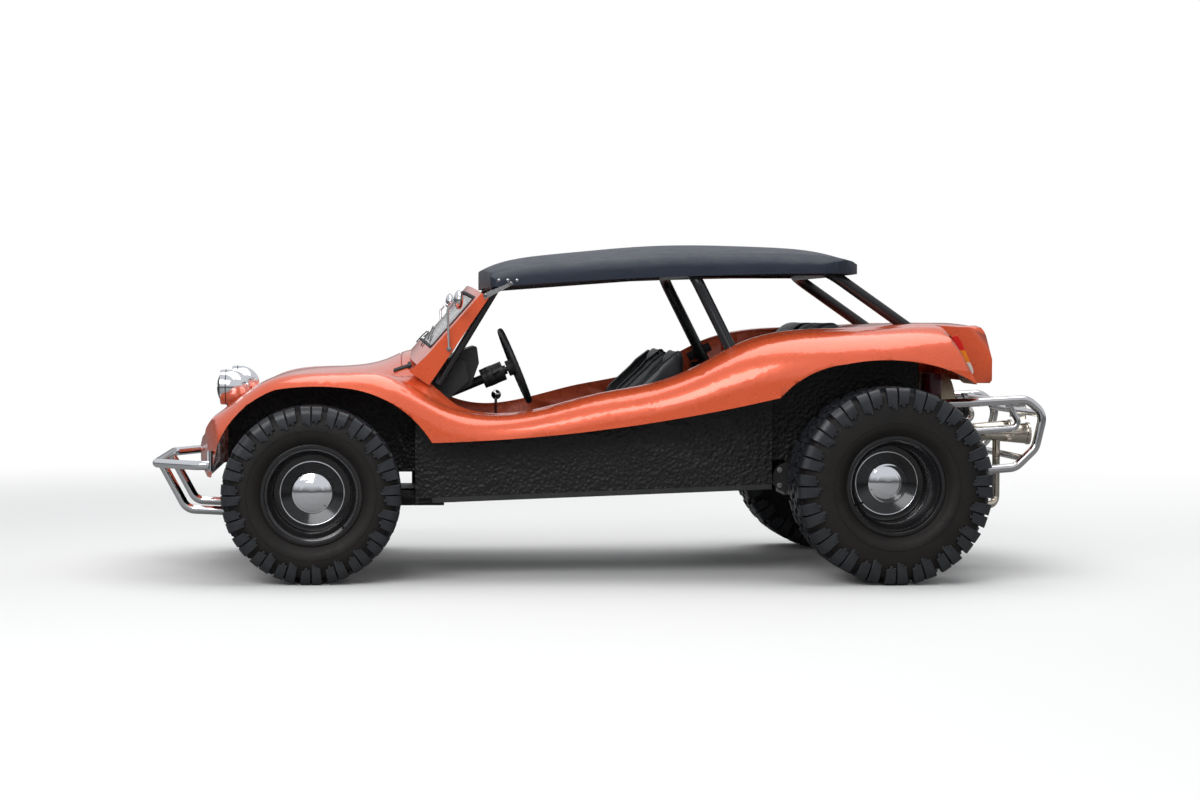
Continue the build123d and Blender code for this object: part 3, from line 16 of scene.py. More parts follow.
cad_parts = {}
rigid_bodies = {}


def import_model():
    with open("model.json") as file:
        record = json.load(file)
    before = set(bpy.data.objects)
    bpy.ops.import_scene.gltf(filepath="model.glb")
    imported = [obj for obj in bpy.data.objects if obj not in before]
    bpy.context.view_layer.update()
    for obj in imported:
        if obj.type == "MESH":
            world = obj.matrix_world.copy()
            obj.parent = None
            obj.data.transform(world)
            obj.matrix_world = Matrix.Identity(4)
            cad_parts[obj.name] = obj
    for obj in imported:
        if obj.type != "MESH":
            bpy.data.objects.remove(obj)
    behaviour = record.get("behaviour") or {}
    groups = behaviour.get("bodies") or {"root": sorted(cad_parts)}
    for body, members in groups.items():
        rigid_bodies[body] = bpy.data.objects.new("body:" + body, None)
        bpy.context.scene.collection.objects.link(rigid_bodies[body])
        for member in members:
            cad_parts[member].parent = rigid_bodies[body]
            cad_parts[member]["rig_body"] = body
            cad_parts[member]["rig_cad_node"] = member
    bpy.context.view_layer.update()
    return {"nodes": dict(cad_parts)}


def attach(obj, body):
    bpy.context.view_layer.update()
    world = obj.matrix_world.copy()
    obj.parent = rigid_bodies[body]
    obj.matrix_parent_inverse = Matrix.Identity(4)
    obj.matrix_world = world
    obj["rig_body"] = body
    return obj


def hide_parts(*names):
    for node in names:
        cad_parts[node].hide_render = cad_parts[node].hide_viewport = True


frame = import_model()
nodes = frame["nodes"]
scene = bpy.context.scene

# %% [markdown]
# The same stations are used by many pieces, so they get names once. An axle's station is the
# middle of its tyre, and the tyre's lowest point is the ground.

# %% Stations of the car
FRONT_X = -1.249
REAR_X = FRONT_X + 2.400
FRONT_TYRE = 0.368
REAR_TYRE = 0.410
SIDES = (("left", -1), ("right", 1))


def station(mm):
    """Metres along X of a point that many millimetres behind the front axle."""
    return FRONT_X + mm / 1000


print("wheelbase", round(REAR_X - FRONT_X, 3))

# %% [markdown]
# The camera stands where the photographer stood: low, ten metres away, on the driver's side.
# A long lens keeps the perspective flat. Its axes are built from yaw, pitch and roll, so each
# number can be read on its own.

# %% Camera
def place_camera(position, yaw, pitch, roll, focal_pixels, image_width):
    yaw, pitch, roll = (math.radians(a) for a in (yaw, pitch, roll))
    ahead = Vector((math.sin(yaw) * math.cos(pitch), math.cos(yaw) * math.cos(pitch), math.sin(pitch)))
    right = Vector((math.cos(yaw), -math.sin(yaw), 0))
    up = right.cross(ahead)
    right, up = right * math.cos(roll) + up * math.sin(roll), up * math.cos(roll) - right * math.sin(roll)
    data = bpy.data.cameras.new("camera")
    data.sensor_width = 36
    data.lens = focal_pixels * data.sensor_width / image_width
    data.clip_end = 200
    camera = bpy.data.objects.new("camera", data)
    camera.matrix_world = Matrix.Translation(position) @ Matrix((right, up, -ahead)).transposed().to_4x4()
    scene.collection.objects.link(camera)
    scene.camera = camera
    return camera


camera = place_camera((-0.9567, -10.3738, 1.0971), 5.300, -1.981, 0.291, 2336.7, 1200)
print("lens", round(camera.data.lens, 1), "mm")

# %% [markdown]
# A small studio: a pale floor, a bright sky and four large soft lamps. What the camera and glass
# see as background is plain white, through the Light Path node; chrome sees a sky that is dark
# below the horizon and bright above it, while the light that falls on the car stays at a plain
# level. Chrome sees the floor darker, as it would see a road.

# %% Floor, sky and lamps
def new_tree(owner):
    owner.use_nodes = True
    owner.node_tree.nodes.clear()
    return owner.node_tree


def node(tree, kind, **values):
    """Adds a shader node, sets its properties, then its inputs by their names."""
    made = tree.nodes.new("ShaderNode" + kind)
    for key, value in values.items():
        if hasattr(made, key) and key not in made.inputs:
            setattr(made, key, value)
        else:
            made.inputs[key.replace("_", " ")].default_value = value
    return made


def wire(tree, source, output, target, entry):
    tree.links.new(source.outputs[output], target.inputs[entry])


def build_sky():
    world = bpy.data.worlds.new("studio")
    scene.world = world
    tree = new_tree(world)
    path = node(tree, "LightPath")
    seen = node(tree, "Math", operation="MAXIMUM")
    wire(tree, path, "Is Camera Ray", seen, 0)
    wire(tree, path, "Is Transmission Ray", seen, 1)
    position = node(tree, "TexCoord")
    split = node(tree, "SeparateXYZ")
    wire(tree, position, "Generated", split, 0)
    ramp = node(tree, "ValToRGB")
    ramp.color_ramp.elements[0].position = 0.50
    ramp.color_ramp.elements[0].color = (0.10, 0.10, 0.10, 1)
    ramp.color_ramp.elements[1].position = 0.60
    ramp.color_ramp.elements[1].color = (0.94, 0.96, 1.0, 1)
    height = node(tree, "MapRange", From_Min=-1.0, From_Max=1.0)
    wire(tree, split, "Z", height, "Value")
    wire(tree, height, "Result", ramp, "Fac")
    mirror_sky = node(tree, "Background", Strength=0.70)
    wire(tree, ramp, "Color", mirror_sky, "Color")
    plain = node(tree, "Background", Color=(1, 1, 1, 1), Strength=1.0)
    light = node(tree, "Background", Color=(0.93, 0.96, 1.0, 1), Strength=0.40)
    camera_or_glass = node(tree, "MixShader")
    glossy_or_rest = node(tree, "MixShader")
    out = node(tree, "OutputWorld")
    wire(tree, path, "Is Glossy Ray", glossy_or_rest, "Fac")
    wire(tree, light, 0, glossy_or_rest, 1)
    wire(tree, mirror_sky, 0, glossy_or_rest, 2)
    wire(tree, seen, 0, camera_or_glass, "Fac")
    wire(tree, glossy_or_rest, 0, camera_or_glass, 1)
    wire(tree, plain, 0, camera_or_glass, 2)
    wire(tree, camera_or_glass, 0, out, "Surface")


def soft_lamp(name, place, target, size, power):
    data = bpy.data.lights.new(name, "AREA")
    data.shape = "RECTANGLE"
    data.size, data.size_y = size
    data.energy = power
    lamp = bpy.data.objects.new(name, data)
    aim = (Vector(target) - Vector(place)).to_track_quat("-Z", "Y")
    lamp.matrix_world = Matrix.Translation(place) @ aim.to_matrix().to_4x4()
    scene.collection.objects.link(lamp)
    return lamp


def build_floor():
    bpy.ops.object.select_all(action="DESELECT")
    bpy.ops.mesh.primitive_plane_add(size=60, location=(0, 0, 0))
    floor = bpy.context.object
    floor.name = "floor"
    material = bpy.data.materials.new("floor_pale")
    tree = new_tree(material)
    shade = node(tree, "BsdfPrincipled", Roughness=0.8)
    tone = node(tree, "Mix", data_type="RGBA")
    tone.inputs[6].default_value = (0.80, 0.80, 0.79, 1)
    tone.inputs[7].default_value = (0.22, 0.22, 0.22, 1)
    white = node(tree, "Emission", Color=(1, 1, 1, 1), Strength=1.0)
    place = node(tree, "TexCoord")
    reach = node(tree, "VectorMath", operation="LENGTH")
    far = node(tree, "MapRange", interpolation_type="SMOOTHSTEP", From_Min=2.4, From_Max=8.0)
    path = node(tree, "LightPath")
    seen = node(tree, "Math", operation="MULTIPLY")
    fade = node(tree, "MixShader")
    out = node(tree, "OutputMaterial")
    wire(tree, path, "Is Glossy Ray", tone, 0)
    wire(tree, tone, 2, shade, "Base Color")
    wire(tree, place, "Object", reach, 0)
    wire(tree, reach, "Value", far, "Value")
    wire(tree, far, "Result", seen, 0)
    wire(tree, path, "Is Camera Ray", seen, 1)
    wire(tree, seen, 0, fade, "Fac")
    wire(tree, shade, 0, fade, 1)
    wire(tree, white, 0, fade, 2)
    wire(tree, fade, 0, out, "Surface")
    floor.data.materials.append(material)
    return floor


scene.view_settings.view_transform = "Standard"
build_sky()
build_floor()
soft_lamp("key_lamp", (-3.5, -6.5, 5.5), (0, 0, 0.7), (6, 3.5), 360)
soft_lamp("top_lamp", (0.5, 0.5, 6.5), (0, 0, 0.6), (7, 5), 300)
far_lamp = soft_lamp("far_lamp", (4.5, 6.0, 4.0), (0, 0, 0.7), (5, 3), 150)
fill_lamp = soft_lamp("fill_lamp", (0.8, -9.0, 2.0), (0.2, 0, 0.8), (6, 1.6), 85)
for lamp in (far_lamp, fill_lamp):
    lamp.visible_glossy = False
print("studio ready")

# %% [markdown]
# Real surfaces are never one flat colour. A few effects come back in many finishes: edges that
# polish bright, dust that gathers low down, pebbled grain on vinyl and rubber. Each effect is a
# node group that puts out only a mask or a height, so a material can use it with its own
# numbers and keep its shader to itself.

# %% Shared effects
def new_group(name, inputs, output):
    tree = bpy.data.node_groups.new(name, "ShaderNodeTree")
    for label, default in inputs:
        socket = tree.interface.new_socket(label, in_out="INPUT", socket_type="NodeSocketFloat")
        socket.default_value = default
    tree.interface.new_socket(output, in_out="OUTPUT", socket_type="NodeSocketFloat")
    return tree, tree.nodes.new("NodeGroupInput"), tree.nodes.new("NodeGroupOutput")


def build_edge_wear():
    tree, entry, end = new_group("edge_wear", (("Amount", 0.5), ("Patch Size", 12.0)), "Mask")
    shape = node(tree, "NewGeometry")
    edges = node(tree, "MapRange", From_Min=0.53, From_Max=0.62)
    place = node(tree, "TexCoord")
    patches = node(tree, "TexNoise", Detail=6.0, Roughness=0.65)
    broken = node(tree, "Math", operation="MULTIPLY")
    scaled = node(tree, "Math", operation="MULTIPLY", use_clamp=True)
    wire(tree, shape, "Pointiness", edges, "Value")
    wire(tree, place, "Object", patches, "Vector")
    wire(tree, entry, "Patch Size", patches, "Scale")
    wire(tree, edges, "Result", broken, 0)
    wire(tree, patches, "Fac", broken, 1)
    wire(tree, broken, 0, scaled, 0)
    wire(tree, entry, "Amount", scaled, 1)
    wire(tree, scaled, 0, end, "Mask")
    return tree


def build_low_dust():
    tree, entry, end = new_group("low_dust", (("Top", 0.5), ("Amount", 0.3)), "Mask")
    place = node(tree, "TexCoord")
    split = node(tree, "SeparateXYZ")
    height = node(tree, "MapRange", From_Min=0.0, To_Min=1.0, To_Max=0.0)
    cloud = node(tree, "TexNoise", Scale=9.0, Detail=8.0, Roughness=0.7)
    spread = node(tree, "MapRange", From_Min=0.35, From_Max=0.7)
    both = node(tree, "Math", operation="MULTIPLY")
    scaled = node(tree, "Math", operation="MULTIPLY", use_clamp=True)
    wire(tree, place, "Object", split, 0)
    wire(tree, split, "Z", height, "Value")
    wire(tree, entry, "Top", height, "From Max")
    wire(tree, place, "Object", cloud, "Vector")
    wire(tree, cloud, "Fac", spread, "Value")
    wire(tree, height, "Result", both, 0)
    wire(tree, spread, "Result", both, 1)
    wire(tree, both, 0, scaled, 0)
    wire(tree, entry, "Amount", scaled, 1)
    wire(tree, scaled, 0, end, "Mask")
    return tree


def build_pebble_grain():
    tree, entry, end = new_group("pebble_grain", (("Size", 0.002), ("Softness", 0.5)), "Height")
    place = node(tree, "TexCoord")
    count = node(tree, "Math", operation="DIVIDE")
    count.inputs[0].default_value = 1.0
    cells = node(tree, "TexVoronoi", feature="SMOOTH_F1")
    ripple = node(tree, "TexNoise", Detail=4.0)
    mix = node(tree, "Mix", data_type="FLOAT")
    wire(tree, entry, "Size", count, 1)
    wire(tree, place, "Object", cells, "Vector")
    wire(tree, count, 0, cells, "Scale")
    wire(tree, place, "Object", ripple, "Vector")
    wire(tree, count, 0, ripple, "Scale")
    wire(tree, entry, "Softness", mix, "Factor")
    wire(tree, cells, "Distance", mix, "A")
    wire(tree, ripple, "Fac", mix, "B")
    wire(tree, mix, "Result", end, "Height")
    return tree


EFFECTS = {
    "edge_wear": build_edge_wear(),
    "low_dust": build_low_dust(),
    "pebble_grain": build_pebble_grain(),
}
print("effects:", sorted(EFFECTS))

# %% [markdown]
# Most finishes follow one recipe: two close shades mixed by a slow noise, edges that wear to
# another colour, a little dust low down, an uneven roughness and a fine relief. The numbers
# make the difference between glossy paint, satin tube and pebbled liner.

# %% The recipe for a finish
def effect(tree, name, **values):
    made = tree.nodes.new("ShaderNodeGroup")
    made.node_tree = EFFECTS[name]
    for key, value in values.items():
        made.inputs[key.replace("_", " ")].default_value = value
    return made


def mixed(tree, factor, first, second):
    """Colour mix: factor and first are sockets, second is a colour."""
    mix = node(tree, "Mix", data_type="RGBA")
    tree.links.new(factor, mix.inputs[0])
    if isinstance(first, tuple):
        mix.inputs[6].default_value = (*first, 1)
    else:
        tree.links.new(first, mix.inputs[6])
    mix.inputs[7].default_value = (*second, 1)
    return mix.outputs[2]


def finish_material(name, colour, shade, roughness, patch=6.0, wear=None, dust=None, grain=None, **shader):
    material = bpy.data.materials.new(name)
    tree = new_tree(material)
    surface = node(tree, "BsdfPrincipled")
    for key, value in shader.items():
        surface.inputs[key.replace("_", " ")].default_value = value
    place = node(tree, "TexCoord")
    cloud = node(tree, "TexNoise", Scale=patch, Detail=5.0, Roughness=0.6)
    wire(tree, place, "Object", cloud, "Vector")
    tint = mixed(tree, cloud.outputs["Fac"], colour, shade)
    if wear:
        amount, worn = wear
        edges = effect(tree, "edge_wear", Amount=amount)
        tint = mixed(tree, edges.outputs["Mask"], tint, worn)
    if dust:
        top, amount, dusty = dust
        low = effect(tree, "low_dust", Top=top, Amount=amount)
        tint = mixed(tree, low.outputs["Mask"], tint, dusty)
    tree.links.new(tint, surface.inputs["Base Color"])
    smudge = node(tree, "TexNoise", Scale=patch * 3, Detail=6.0, Roughness=0.7)
    rough = node(tree, "MapRange", From_Min=0.3, From_Max=0.7, To_Min=roughness[0],
                 To_Max=roughness[1])
    wire(tree, place, "Object", smudge, "Vector")
    wire(tree, smudge, "Fac", rough, "Value")
    wire(tree, rough, "Result", surface, "Roughness")
    if grain:
        size, depth, softness = grain
        pebbles = effect(tree, "pebble_grain", Size=size, Softness=softness)
        bump = node(tree, "Bump", Distance=depth, Strength=0.8)
        wire(tree, pebbles, "Height", bump, "Height")
        wire(tree, bump, "Normal", surface, "Normal")
    out = node(tree, "OutputMaterial")
    wire(tree, surface, 0, out, "Surface")
    return material


DUST = (0.23, 0.20, 0.17)
print("recipe ready")

# %% [markdown]
# The body is glass fibre under a copper-orange metallic paint: a slightly metallic colour coat
# with an even, clear lacquer on top. The black lower sides are sprayed with a coarse liner
# that catches light in small pebbles. Bright parts are chrome or polished tube.

# %% Finishes of the car
paint = finish_material("orange_metallic", (0.72, 0.105, 0.032), (0.64, 0.088, 0.027), (0.24, 0.32),
                        patch=3.0, dust=(0.75, 0.06, (0.40, 0.20, 0.13)), Metallic=0.25, Coat_Weight=0.8,
                        Coat_Roughness=0.04)
liner = finish_material("black_liner", (0.0045, 0.0045, 0.005), (0.009, 0.009, 0.0095), (0.36, 0.55),
                        patch=14.0, dust=(0.50, 0.04, DUST), grain=(0.0130, 0.0100, 0.30),
                        Specular_IOR_Level=0.34)
gloss_black = finish_material("gloss_black", (0.006, 0.006, 0.007), (0.010, 0.010, 0.011), (0.12, 0.20),
                              patch=8.0, wear=(0.4, (0.03, 0.03, 0.033)), dust=(0.5, 0.05, DUST),
                              Coat_Weight=0.4, Coat_Roughness=0.06, Specular_IOR_Level=0.4)
satin_black = finish_material("satin_black", (0.009, 0.009, 0.010), (0.016, 0.016, 0.017), (0.36, 0.52),
                              patch=10.0, wear=(0.6, (0.07, 0.07, 0.072)), dust=(0.5, 0.14, DUST),
                              grain=(0.0018, 0.00012, 0.5), Specular_IOR_Level=0.35)
padded_black = finish_material("padded_black", (0.010, 0.011, 0.012), (0.017, 0.018, 0.020), (0.42, 0.58),
                               patch=16.0, grain=(0.0016, 0.00020, 0.35), Specular_IOR_Level=0.35)
rubber = finish_material("seal_rubber", (0.008, 0.008, 0.009), (0.014, 0.014, 0.015), (0.48, 0.66),
                         patch=20.0, dust=(1.0, 0.04, DUST), grain=(0.0012, 0.00008, 0.7),
                         Specular_IOR_Level=0.3)
roof_vinyl = finish_material("roof_vinyl", (0.010, 0.0150, 0.027), (0.014, 0.0205, 0.035), (0.44, 0.58),
                             patch=4.0, grain=(0.0022, 0.00022, 0.4), Specular_IOR_Level=0.30,
                             Sheen_Weight=0.04)
chrome = finish_material("chrome", (0.86, 0.87, 0.89), (0.80, 0.81, 0.83), (0.03, 0.10), patch=5.0,
                         dust=(0.45, 0.12, (0.45, 0.42, 0.40)), Metallic=1.0)
polished_tube = finish_material("polished_tube", (0.72, 0.72, 0.73), (0.64, 0.63, 0.63), (0.10, 0.22),
                                patch=9.0, dust=(0.5, 0.18, (0.40, 0.36, 0.33)), Metallic=1.0)
cast_alloy = finish_material("cast_alloy", (0.42, 0.42, 0.42), (0.33, 0.32, 0.31), (0.40, 0.60), patch=14.0,
                             wear=(0.6, (0.6, 0.6, 0.6)), dust=(0.7, 0.5, DUST), grain=(0.003, 0.0004, 0.6),
                             Metallic=0.9)
zinc = finish_material("zinc_steel", (0.60, 0.60, 0.61), (0.50, 0.50, 0.50), (0.22, 0.38), patch=18.0,
                       dust=(0.5, 0.2, DUST), Metallic=1.0)
print("finishes:", len(bpy.data.materials))

# %% [markdown]
# Three ways of making a form come back all the time, so each gets a helper that works as a
# hand would in edit mode. A profile is drawn by dragging one corner along it. Spun round an
# axle it becomes a wheel; filled and pulled it becomes a plate; and a tube follows a path.

# %% Modelling helpers
def select_only(piece):
    bpy.ops.object.select_all(action="DESELECT")
    piece.select_set(True)
    bpy.context.view_layer.objects.active = piece


def edit_all(piece):
    """Edit mode with every corner of the piece selected."""
    select_only(piece)
    bpy.ops.object.mode_set(mode="EDIT")
    bpy.ops.mesh.select_all(action="SELECT")


def begin(name):
    """A new mesh that is one corner at the origin, left in edit mode."""
    if bpy.context.object and bpy.context.object.mode != "OBJECT":
        bpy.ops.object.mode_set(mode="OBJECT")
    bpy.ops.object.select_all(action="DESELECT")
    bpy.ops.mesh.primitive_plane_add(size=0.01, location=(0, 0, 0))
    piece = bpy.context.object
    piece.name = name
    bpy.ops.object.mode_set(mode="EDIT")
    bpy.ops.mesh.select_all(action="SELECT")
    bpy.ops.mesh.merge(type="CENTER")
    return piece


def drag_through(points):
    """Moves the corner to the first point and extrudes it from point to point."""
    bpy.ops.transform.translate(value=points[0])
    for here, there in zip(points, points[1:]):
        step = tuple(b - a for a, b in zip(here, there))
        bpy.ops.mesh.extrude_region_move(TRANSFORM_OT_translate={"value": step})


def finish_edit(piece):
    """Welds the corners, turns the faces outwards and leaves edit mode."""
    bpy.ops.mesh.select_all(action="SELECT")
    bpy.ops.mesh.remove_doubles(threshold=0.00002)
    bpy.ops.mesh.normals_make_consistent(inside=False)
    bpy.ops.object.mode_set(mode="OBJECT")
    return piece


def apply_modifiers(piece):
    bpy.context.view_layer.objects.active = piece
    for modifier in list(piece.modifiers):
        bpy.ops.object.modifier_apply(modifier=modifier.name)


def soften(piece, width, segments=2, angle=32):
    """Rounds the sharp edges, then shades the rest smooth."""
    select_only(piece)
    if width:
        bevel = piece.modifiers.new("rounded_edges", "BEVEL")
        bevel.width = width
        bevel.segments = segments
        bevel.limit_method = "ANGLE"
        bevel.angle_limit = math.radians(30)
        apply_modifiers(piece)
    bpy.ops.object.shade_smooth_by_angle(angle=math.radians(angle))
    return piece


def even_shading(piece):
    """Large faces decide the shading at shared corners, so long thin ones leave no bright patches."""
    weighted = piece.modifiers.new("even_shading", "WEIGHTED_NORMAL")
    weighted.weight = 100
    weighted.keep_sharp = True
    apply_modifiers(piece)
    return piece


def turned(name, profile, x, z, steps=96, closed=True):
    """Lathe work: profile holds (radius, distance from the centre plane) round an axle at x, z."""
    piece = begin(name)
    drag_through([(x, y, z + r) for r, y in profile])
    bpy.ops.mesh.select_all(action="SELECT")
    if closed:
        bpy.ops.mesh.edge_face_add()
        bpy.ops.mesh.delete(type="ONLY_FACE")
        bpy.ops.mesh.select_all(action="SELECT")
    bpy.ops.mesh.spin(steps=steps, angle=2 * math.pi, center=(x, 0, z), axis=(0, 1, 0))
    return finish_edit(piece)


def plate(name, outline, pull):
    """A flat outline of points, filled and pulled along a vector."""
    piece = begin(name)
    drag_through([tuple(p) for p in outline])
    bpy.ops.mesh.select_all(action="SELECT")
    bpy.ops.mesh.edge_face_add()
    bpy.ops.mesh.extrude_region_move(TRANSFORM_OT_translate={"value": tuple(pull)})
    return finish_edit(piece)


def tube(name, points, radius, closed=False, sides=12):
    """A round tube along a path, made a mesh."""
    curve = bpy.data.curves.new(name, "CURVE")
    curve.dimensions = "3D"
    curve.bevel_depth = radius
    curve.bevel_resolution = max(1, sides // 4 - 1)
    curve.use_fill_caps = not closed
    curve.resolution_u = 8
    spline = curve.splines.new("NURBS")
    spline.points.add(len(points) - 1)
    for corner, place in zip(spline.points, points):
        corner.co = (*place, 1)
    spline.use_cyclic_u = closed
    spline.order_u = 3
    spline.use_endpoint_u = not closed
    piece = bpy.data.objects.new(name, curve)
    scene.collection.objects.link(piece)
    select_only(piece)
    bpy.ops.object.convert(target="MESH")
    piece = bpy.context.object
    bpy.ops.object.shade_smooth()
    return piece


def joined(name, pieces):
    bpy.ops.object.select_all(action="DESELECT")
    for piece in pieces:
        piece.select_set(True)
    bpy.context.view_layer.objects.active = pieces[0]
    bpy.ops.object.join()
    pieces[0].name = name
    return pieces[0]


def copy_moved(piece, matrix, name=None):
    """A copy with its own mesh, its place baked into the mesh."""
    other = piece.copy()
    other.data = piece.data.copy()
    other.data.transform(matrix)
    if matrix.determinant() < 0:
        other.data.flip_normals()
    other.name = name or piece.name
    scene.collection.objects.link(other)
    return other


MIRRORED = Matrix.Scale(-1, 4, (0, 1, 0))


def dress(piece, material, body, *replaced, slot=None):
    """Gives a finished piece its material and its body, and hides the solids that it stands for."""
    piece.data.materials.clear()
    piece.data.materials.append(material)
    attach(piece, body)
    if replaced:
        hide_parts(*replaced)
    return piece


def refine(name, material, width=0.0015, angle=32, segments=2):
    """Keeps a solid as it is, but welds, rounds and shades a copy of it that is shown instead."""
    solid = nodes[name]
    piece = solid.copy()
    piece.data = solid.data.copy()
    piece.parent = None
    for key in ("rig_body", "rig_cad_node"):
        if key in piece:
            del piece[key]
    piece.name = name + "_dressed"
    scene.collection.objects.link(piece)
    edit_all(piece)
    bpy.ops.mesh.remove_doubles(threshold=0.00001)
    bpy.ops.mesh.tris_convert_to_quads(face_threshold=math.radians(1), shape_threshold=math.radians(60))
    bpy.ops.object.mode_set(mode="OBJECT")
    soften(piece, width, segments, angle)
    even_shading(piece)
    return dress(piece, material, solid["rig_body"], name)


print("helpers ready")

# %% [markdown]
# The tyres are mud tyres: a rounded casing, pairs of broad shoulder lugs that wrap over the edge
# and claw down the side in three steps, and chunky blocks in the middle. The casing is turned on
# a lathe. A lug is drawn as it looks from the side, pulled inwards and sliced off round the
# shoulder. One lug and one block are set round the tyre in turns, as a real mould repeats them.

# %% Tyre casing
def arc(start, middle, end, count=6):
    """Points of a smooth bend from start to end that passes near middle."""
    run = []
    for i in range(count + 1):
        t = i / count
        run.append(tuple((1 - t) ** 2 * a + 2 * t * (1 - t) * b + t * t * c
                         for a, b, c in zip(start, middle, end)))
    return run


def casing_profile(radius, width, rim_face, rim_width):
    """Half profiles of the casing as (radius, distance from the car's centre plane)."""
    middle = rim_face - rim_width / 2
    bead, half = rim_width / 2 - 0.0095, width / 2
    tread = radius - 0.0185
    outer = [(0.1912, bead), (0.2095, bead), (0.2150, bead + 0.004)]
    outer += arc((0.219, bead + 0.007), (0.236, half - 0.004), (0.262, half - 0.0035))
    outer += [(0.2630, half - 0.0014), (0.2665, half - 0.0014), (0.268, half - 0.0036)]
    outer += arc((0.270, half - 0.0036), (radius * 0.79, half - 0.004), (radius * 0.84, half - 0.014))
    outer += arc((radius - 0.040, half - 0.022), (radius - 0.024, half - 0.028), (tread, half - 0.050))
    outer += [(tread + 0.0015, half * 0.4)]
    right = [(r, middle + y) for r, y in outer]
    left = [(r, middle - y) for r, y in reversed(outer)]
    return right + left


STEP_SLOPE = 0.006
# Flats that round the shoulder: place in from the side and below the tread, then the flat's normal
SHOULDER_CUTS = (((0.014, 0.008), (0.36, 0.93)), ((0.0135, 0.010), (0.80, 0.60)),
                 ((0.0035, 0.026), (0.97, 0.24)))


def cut_away(piece, place, normal):
    """Slices off what lies on the side that the normal points to, and closes the cut."""
    edit_all(piece)
    bpy.ops.mesh.bisect(plane_co=place, plane_no=normal, use_fill=True, clear_outer=True)
    bpy.ops.object.mode_set(mode="OBJECT")


def build_lug(radius, width, middle, steps, inner):
    """A shoulder lug drawn as seen from the side: steps hold (first angle, last angle, reach)."""
    def on_face(angle, reach):
        turn = math.radians(angle)
        return (reach * math.sin(turn), middle + width / 2 - inner, reach * math.cos(turn))

    top = radius - 0.0008
    start, stop = steps[0][0], steps[-1][1]
    outline = [on_face(stop, top), on_face((start + stop) / 2, top), on_face(start, top)]
    for first, last, reach in steps:
        outline += [on_face(first, radius * reach), on_face(last, radius * (reach + STEP_SLOPE))]
    lug = plate("lug", outline, (0, inner - 0.0004, 0))
    for (across, below), (lean_out, lean_up) in SHOULDER_CUTS:
        cut_away(lug, (0, middle + width / 2 - across, radius - below), (0, lean_out, lean_up))
    return soften(lug, 0.0012, 1)


def build_block(radius, middle, offset, length, breadth, skew):
    """A tread block with a stepped outline, pulled up from the casing to the tread."""
    half_l, half_b = length / 2, breadth / 2
    flat = [(-half_l, -half_b), (-0.004, -half_b), (0.000, -half_b + 0.006), (half_l, -half_b + 0.006),
            (half_l, half_b), (0.004, half_b), (0.000, half_b - 0.006), (-half_l, half_b - 0.006)]
    turned_flat = Matrix.Rotation(math.radians(skew), 4, "Z")
    foot = Vector((0, middle + offset, radius - 0.0205))
    outline = [foot + turned_flat @ Vector((x, y, 0)) for x, y in flat]
    block = plate("block", outline, (0, 0, 0.0195))
    return soften(block, 0.0016, 1)


PITCHES = 20
# Two lugs a pitch: inner end on the tread, then first angle, last angle and reach of each step
LUGS = ((0.0, ((-7.1, -5.0, 0.800), (-5.0, -2.8, 0.782), (-2.8, -0.5, 0.764))),
        (0.012, ((0.5, 2.8, 0.818), (2.8, 5.0, 0.800), (5.0, 7.1, 0.834))))
# Widths in metres across the car; rows hold offset, length, breadth and skew of the tread blocks;
# hub holds bore, depth and radius of the brake drum
ENDS = {
    "front": dict(x=FRONT_X, radius=FRONT_TYRE, width=0.240, face=0.793, rim=0.198, disc=0.143, inner=0.056,
                  rows=((0.027, 0.037, 0.040, 14), (-0.027, 0.037, 0.040, 14)),
                  valve=(0.108, -0.115), hub=(0.01405, 0.028, 0.115)),
    "rear": dict(x=REAR_X, radius=REAR_TYRE, width=0.318, face=0.907, rim=0.262, disc=0.195, inner=0.070,
                 rows=((0.056, 0.042, 0.046, 14), (0.0, 0.042, 0.046, -14), (-0.056, 0.042, 0.046, 14)),
                 valve=(-0.140, -0.074), hub=(0.01805, 0.055, 0.125)),
}


def build_tyre(end, size):
    middle = size["face"] - size["rim"] / 2
    casing = turned("casing", casing_profile(size["radius"], size["width"], size["face"], size["rim"]), 0, 0,
                    steps=120)
    soften(casing, 0)
    pitch = 360 / PITCHES
    swap = Matrix.Translation((0, 2 * middle, 0)) @ MIRRORED
    pieces, pattern = [], []
    for shorter, steps in LUGS:
        lug = build_lug(size["radius"], size["width"], middle, steps, size["inner"] - shorter)
        pattern += [(lug, 0), (copy_moved(lug, swap), 0)]
    for number, (offset, length, breadth, skew) in enumerate(size["rows"]):
        block = build_block(size["radius"], middle, offset, length, breadth, skew)
        pattern += [(block, 0.12 + 0.25 * number), (block, 0.62 + 0.25 * number)]
    for turn in range(PITCHES):
        for piece, phase in pattern:
            pieces.append(copy_moved(piece, Matrix.Rotation(math.radians((turn + phase) * pitch), 4, "Y")))
    for piece in {p for p, phase in pattern}:
        bpy.data.objects.remove(piece)
    tread = joined("tread_" + end, pieces)
    for piece in (casing, tread):
        piece.data.transform(Matrix.Translation((size["x"], 0, size["radius"])))
    return casing, tread


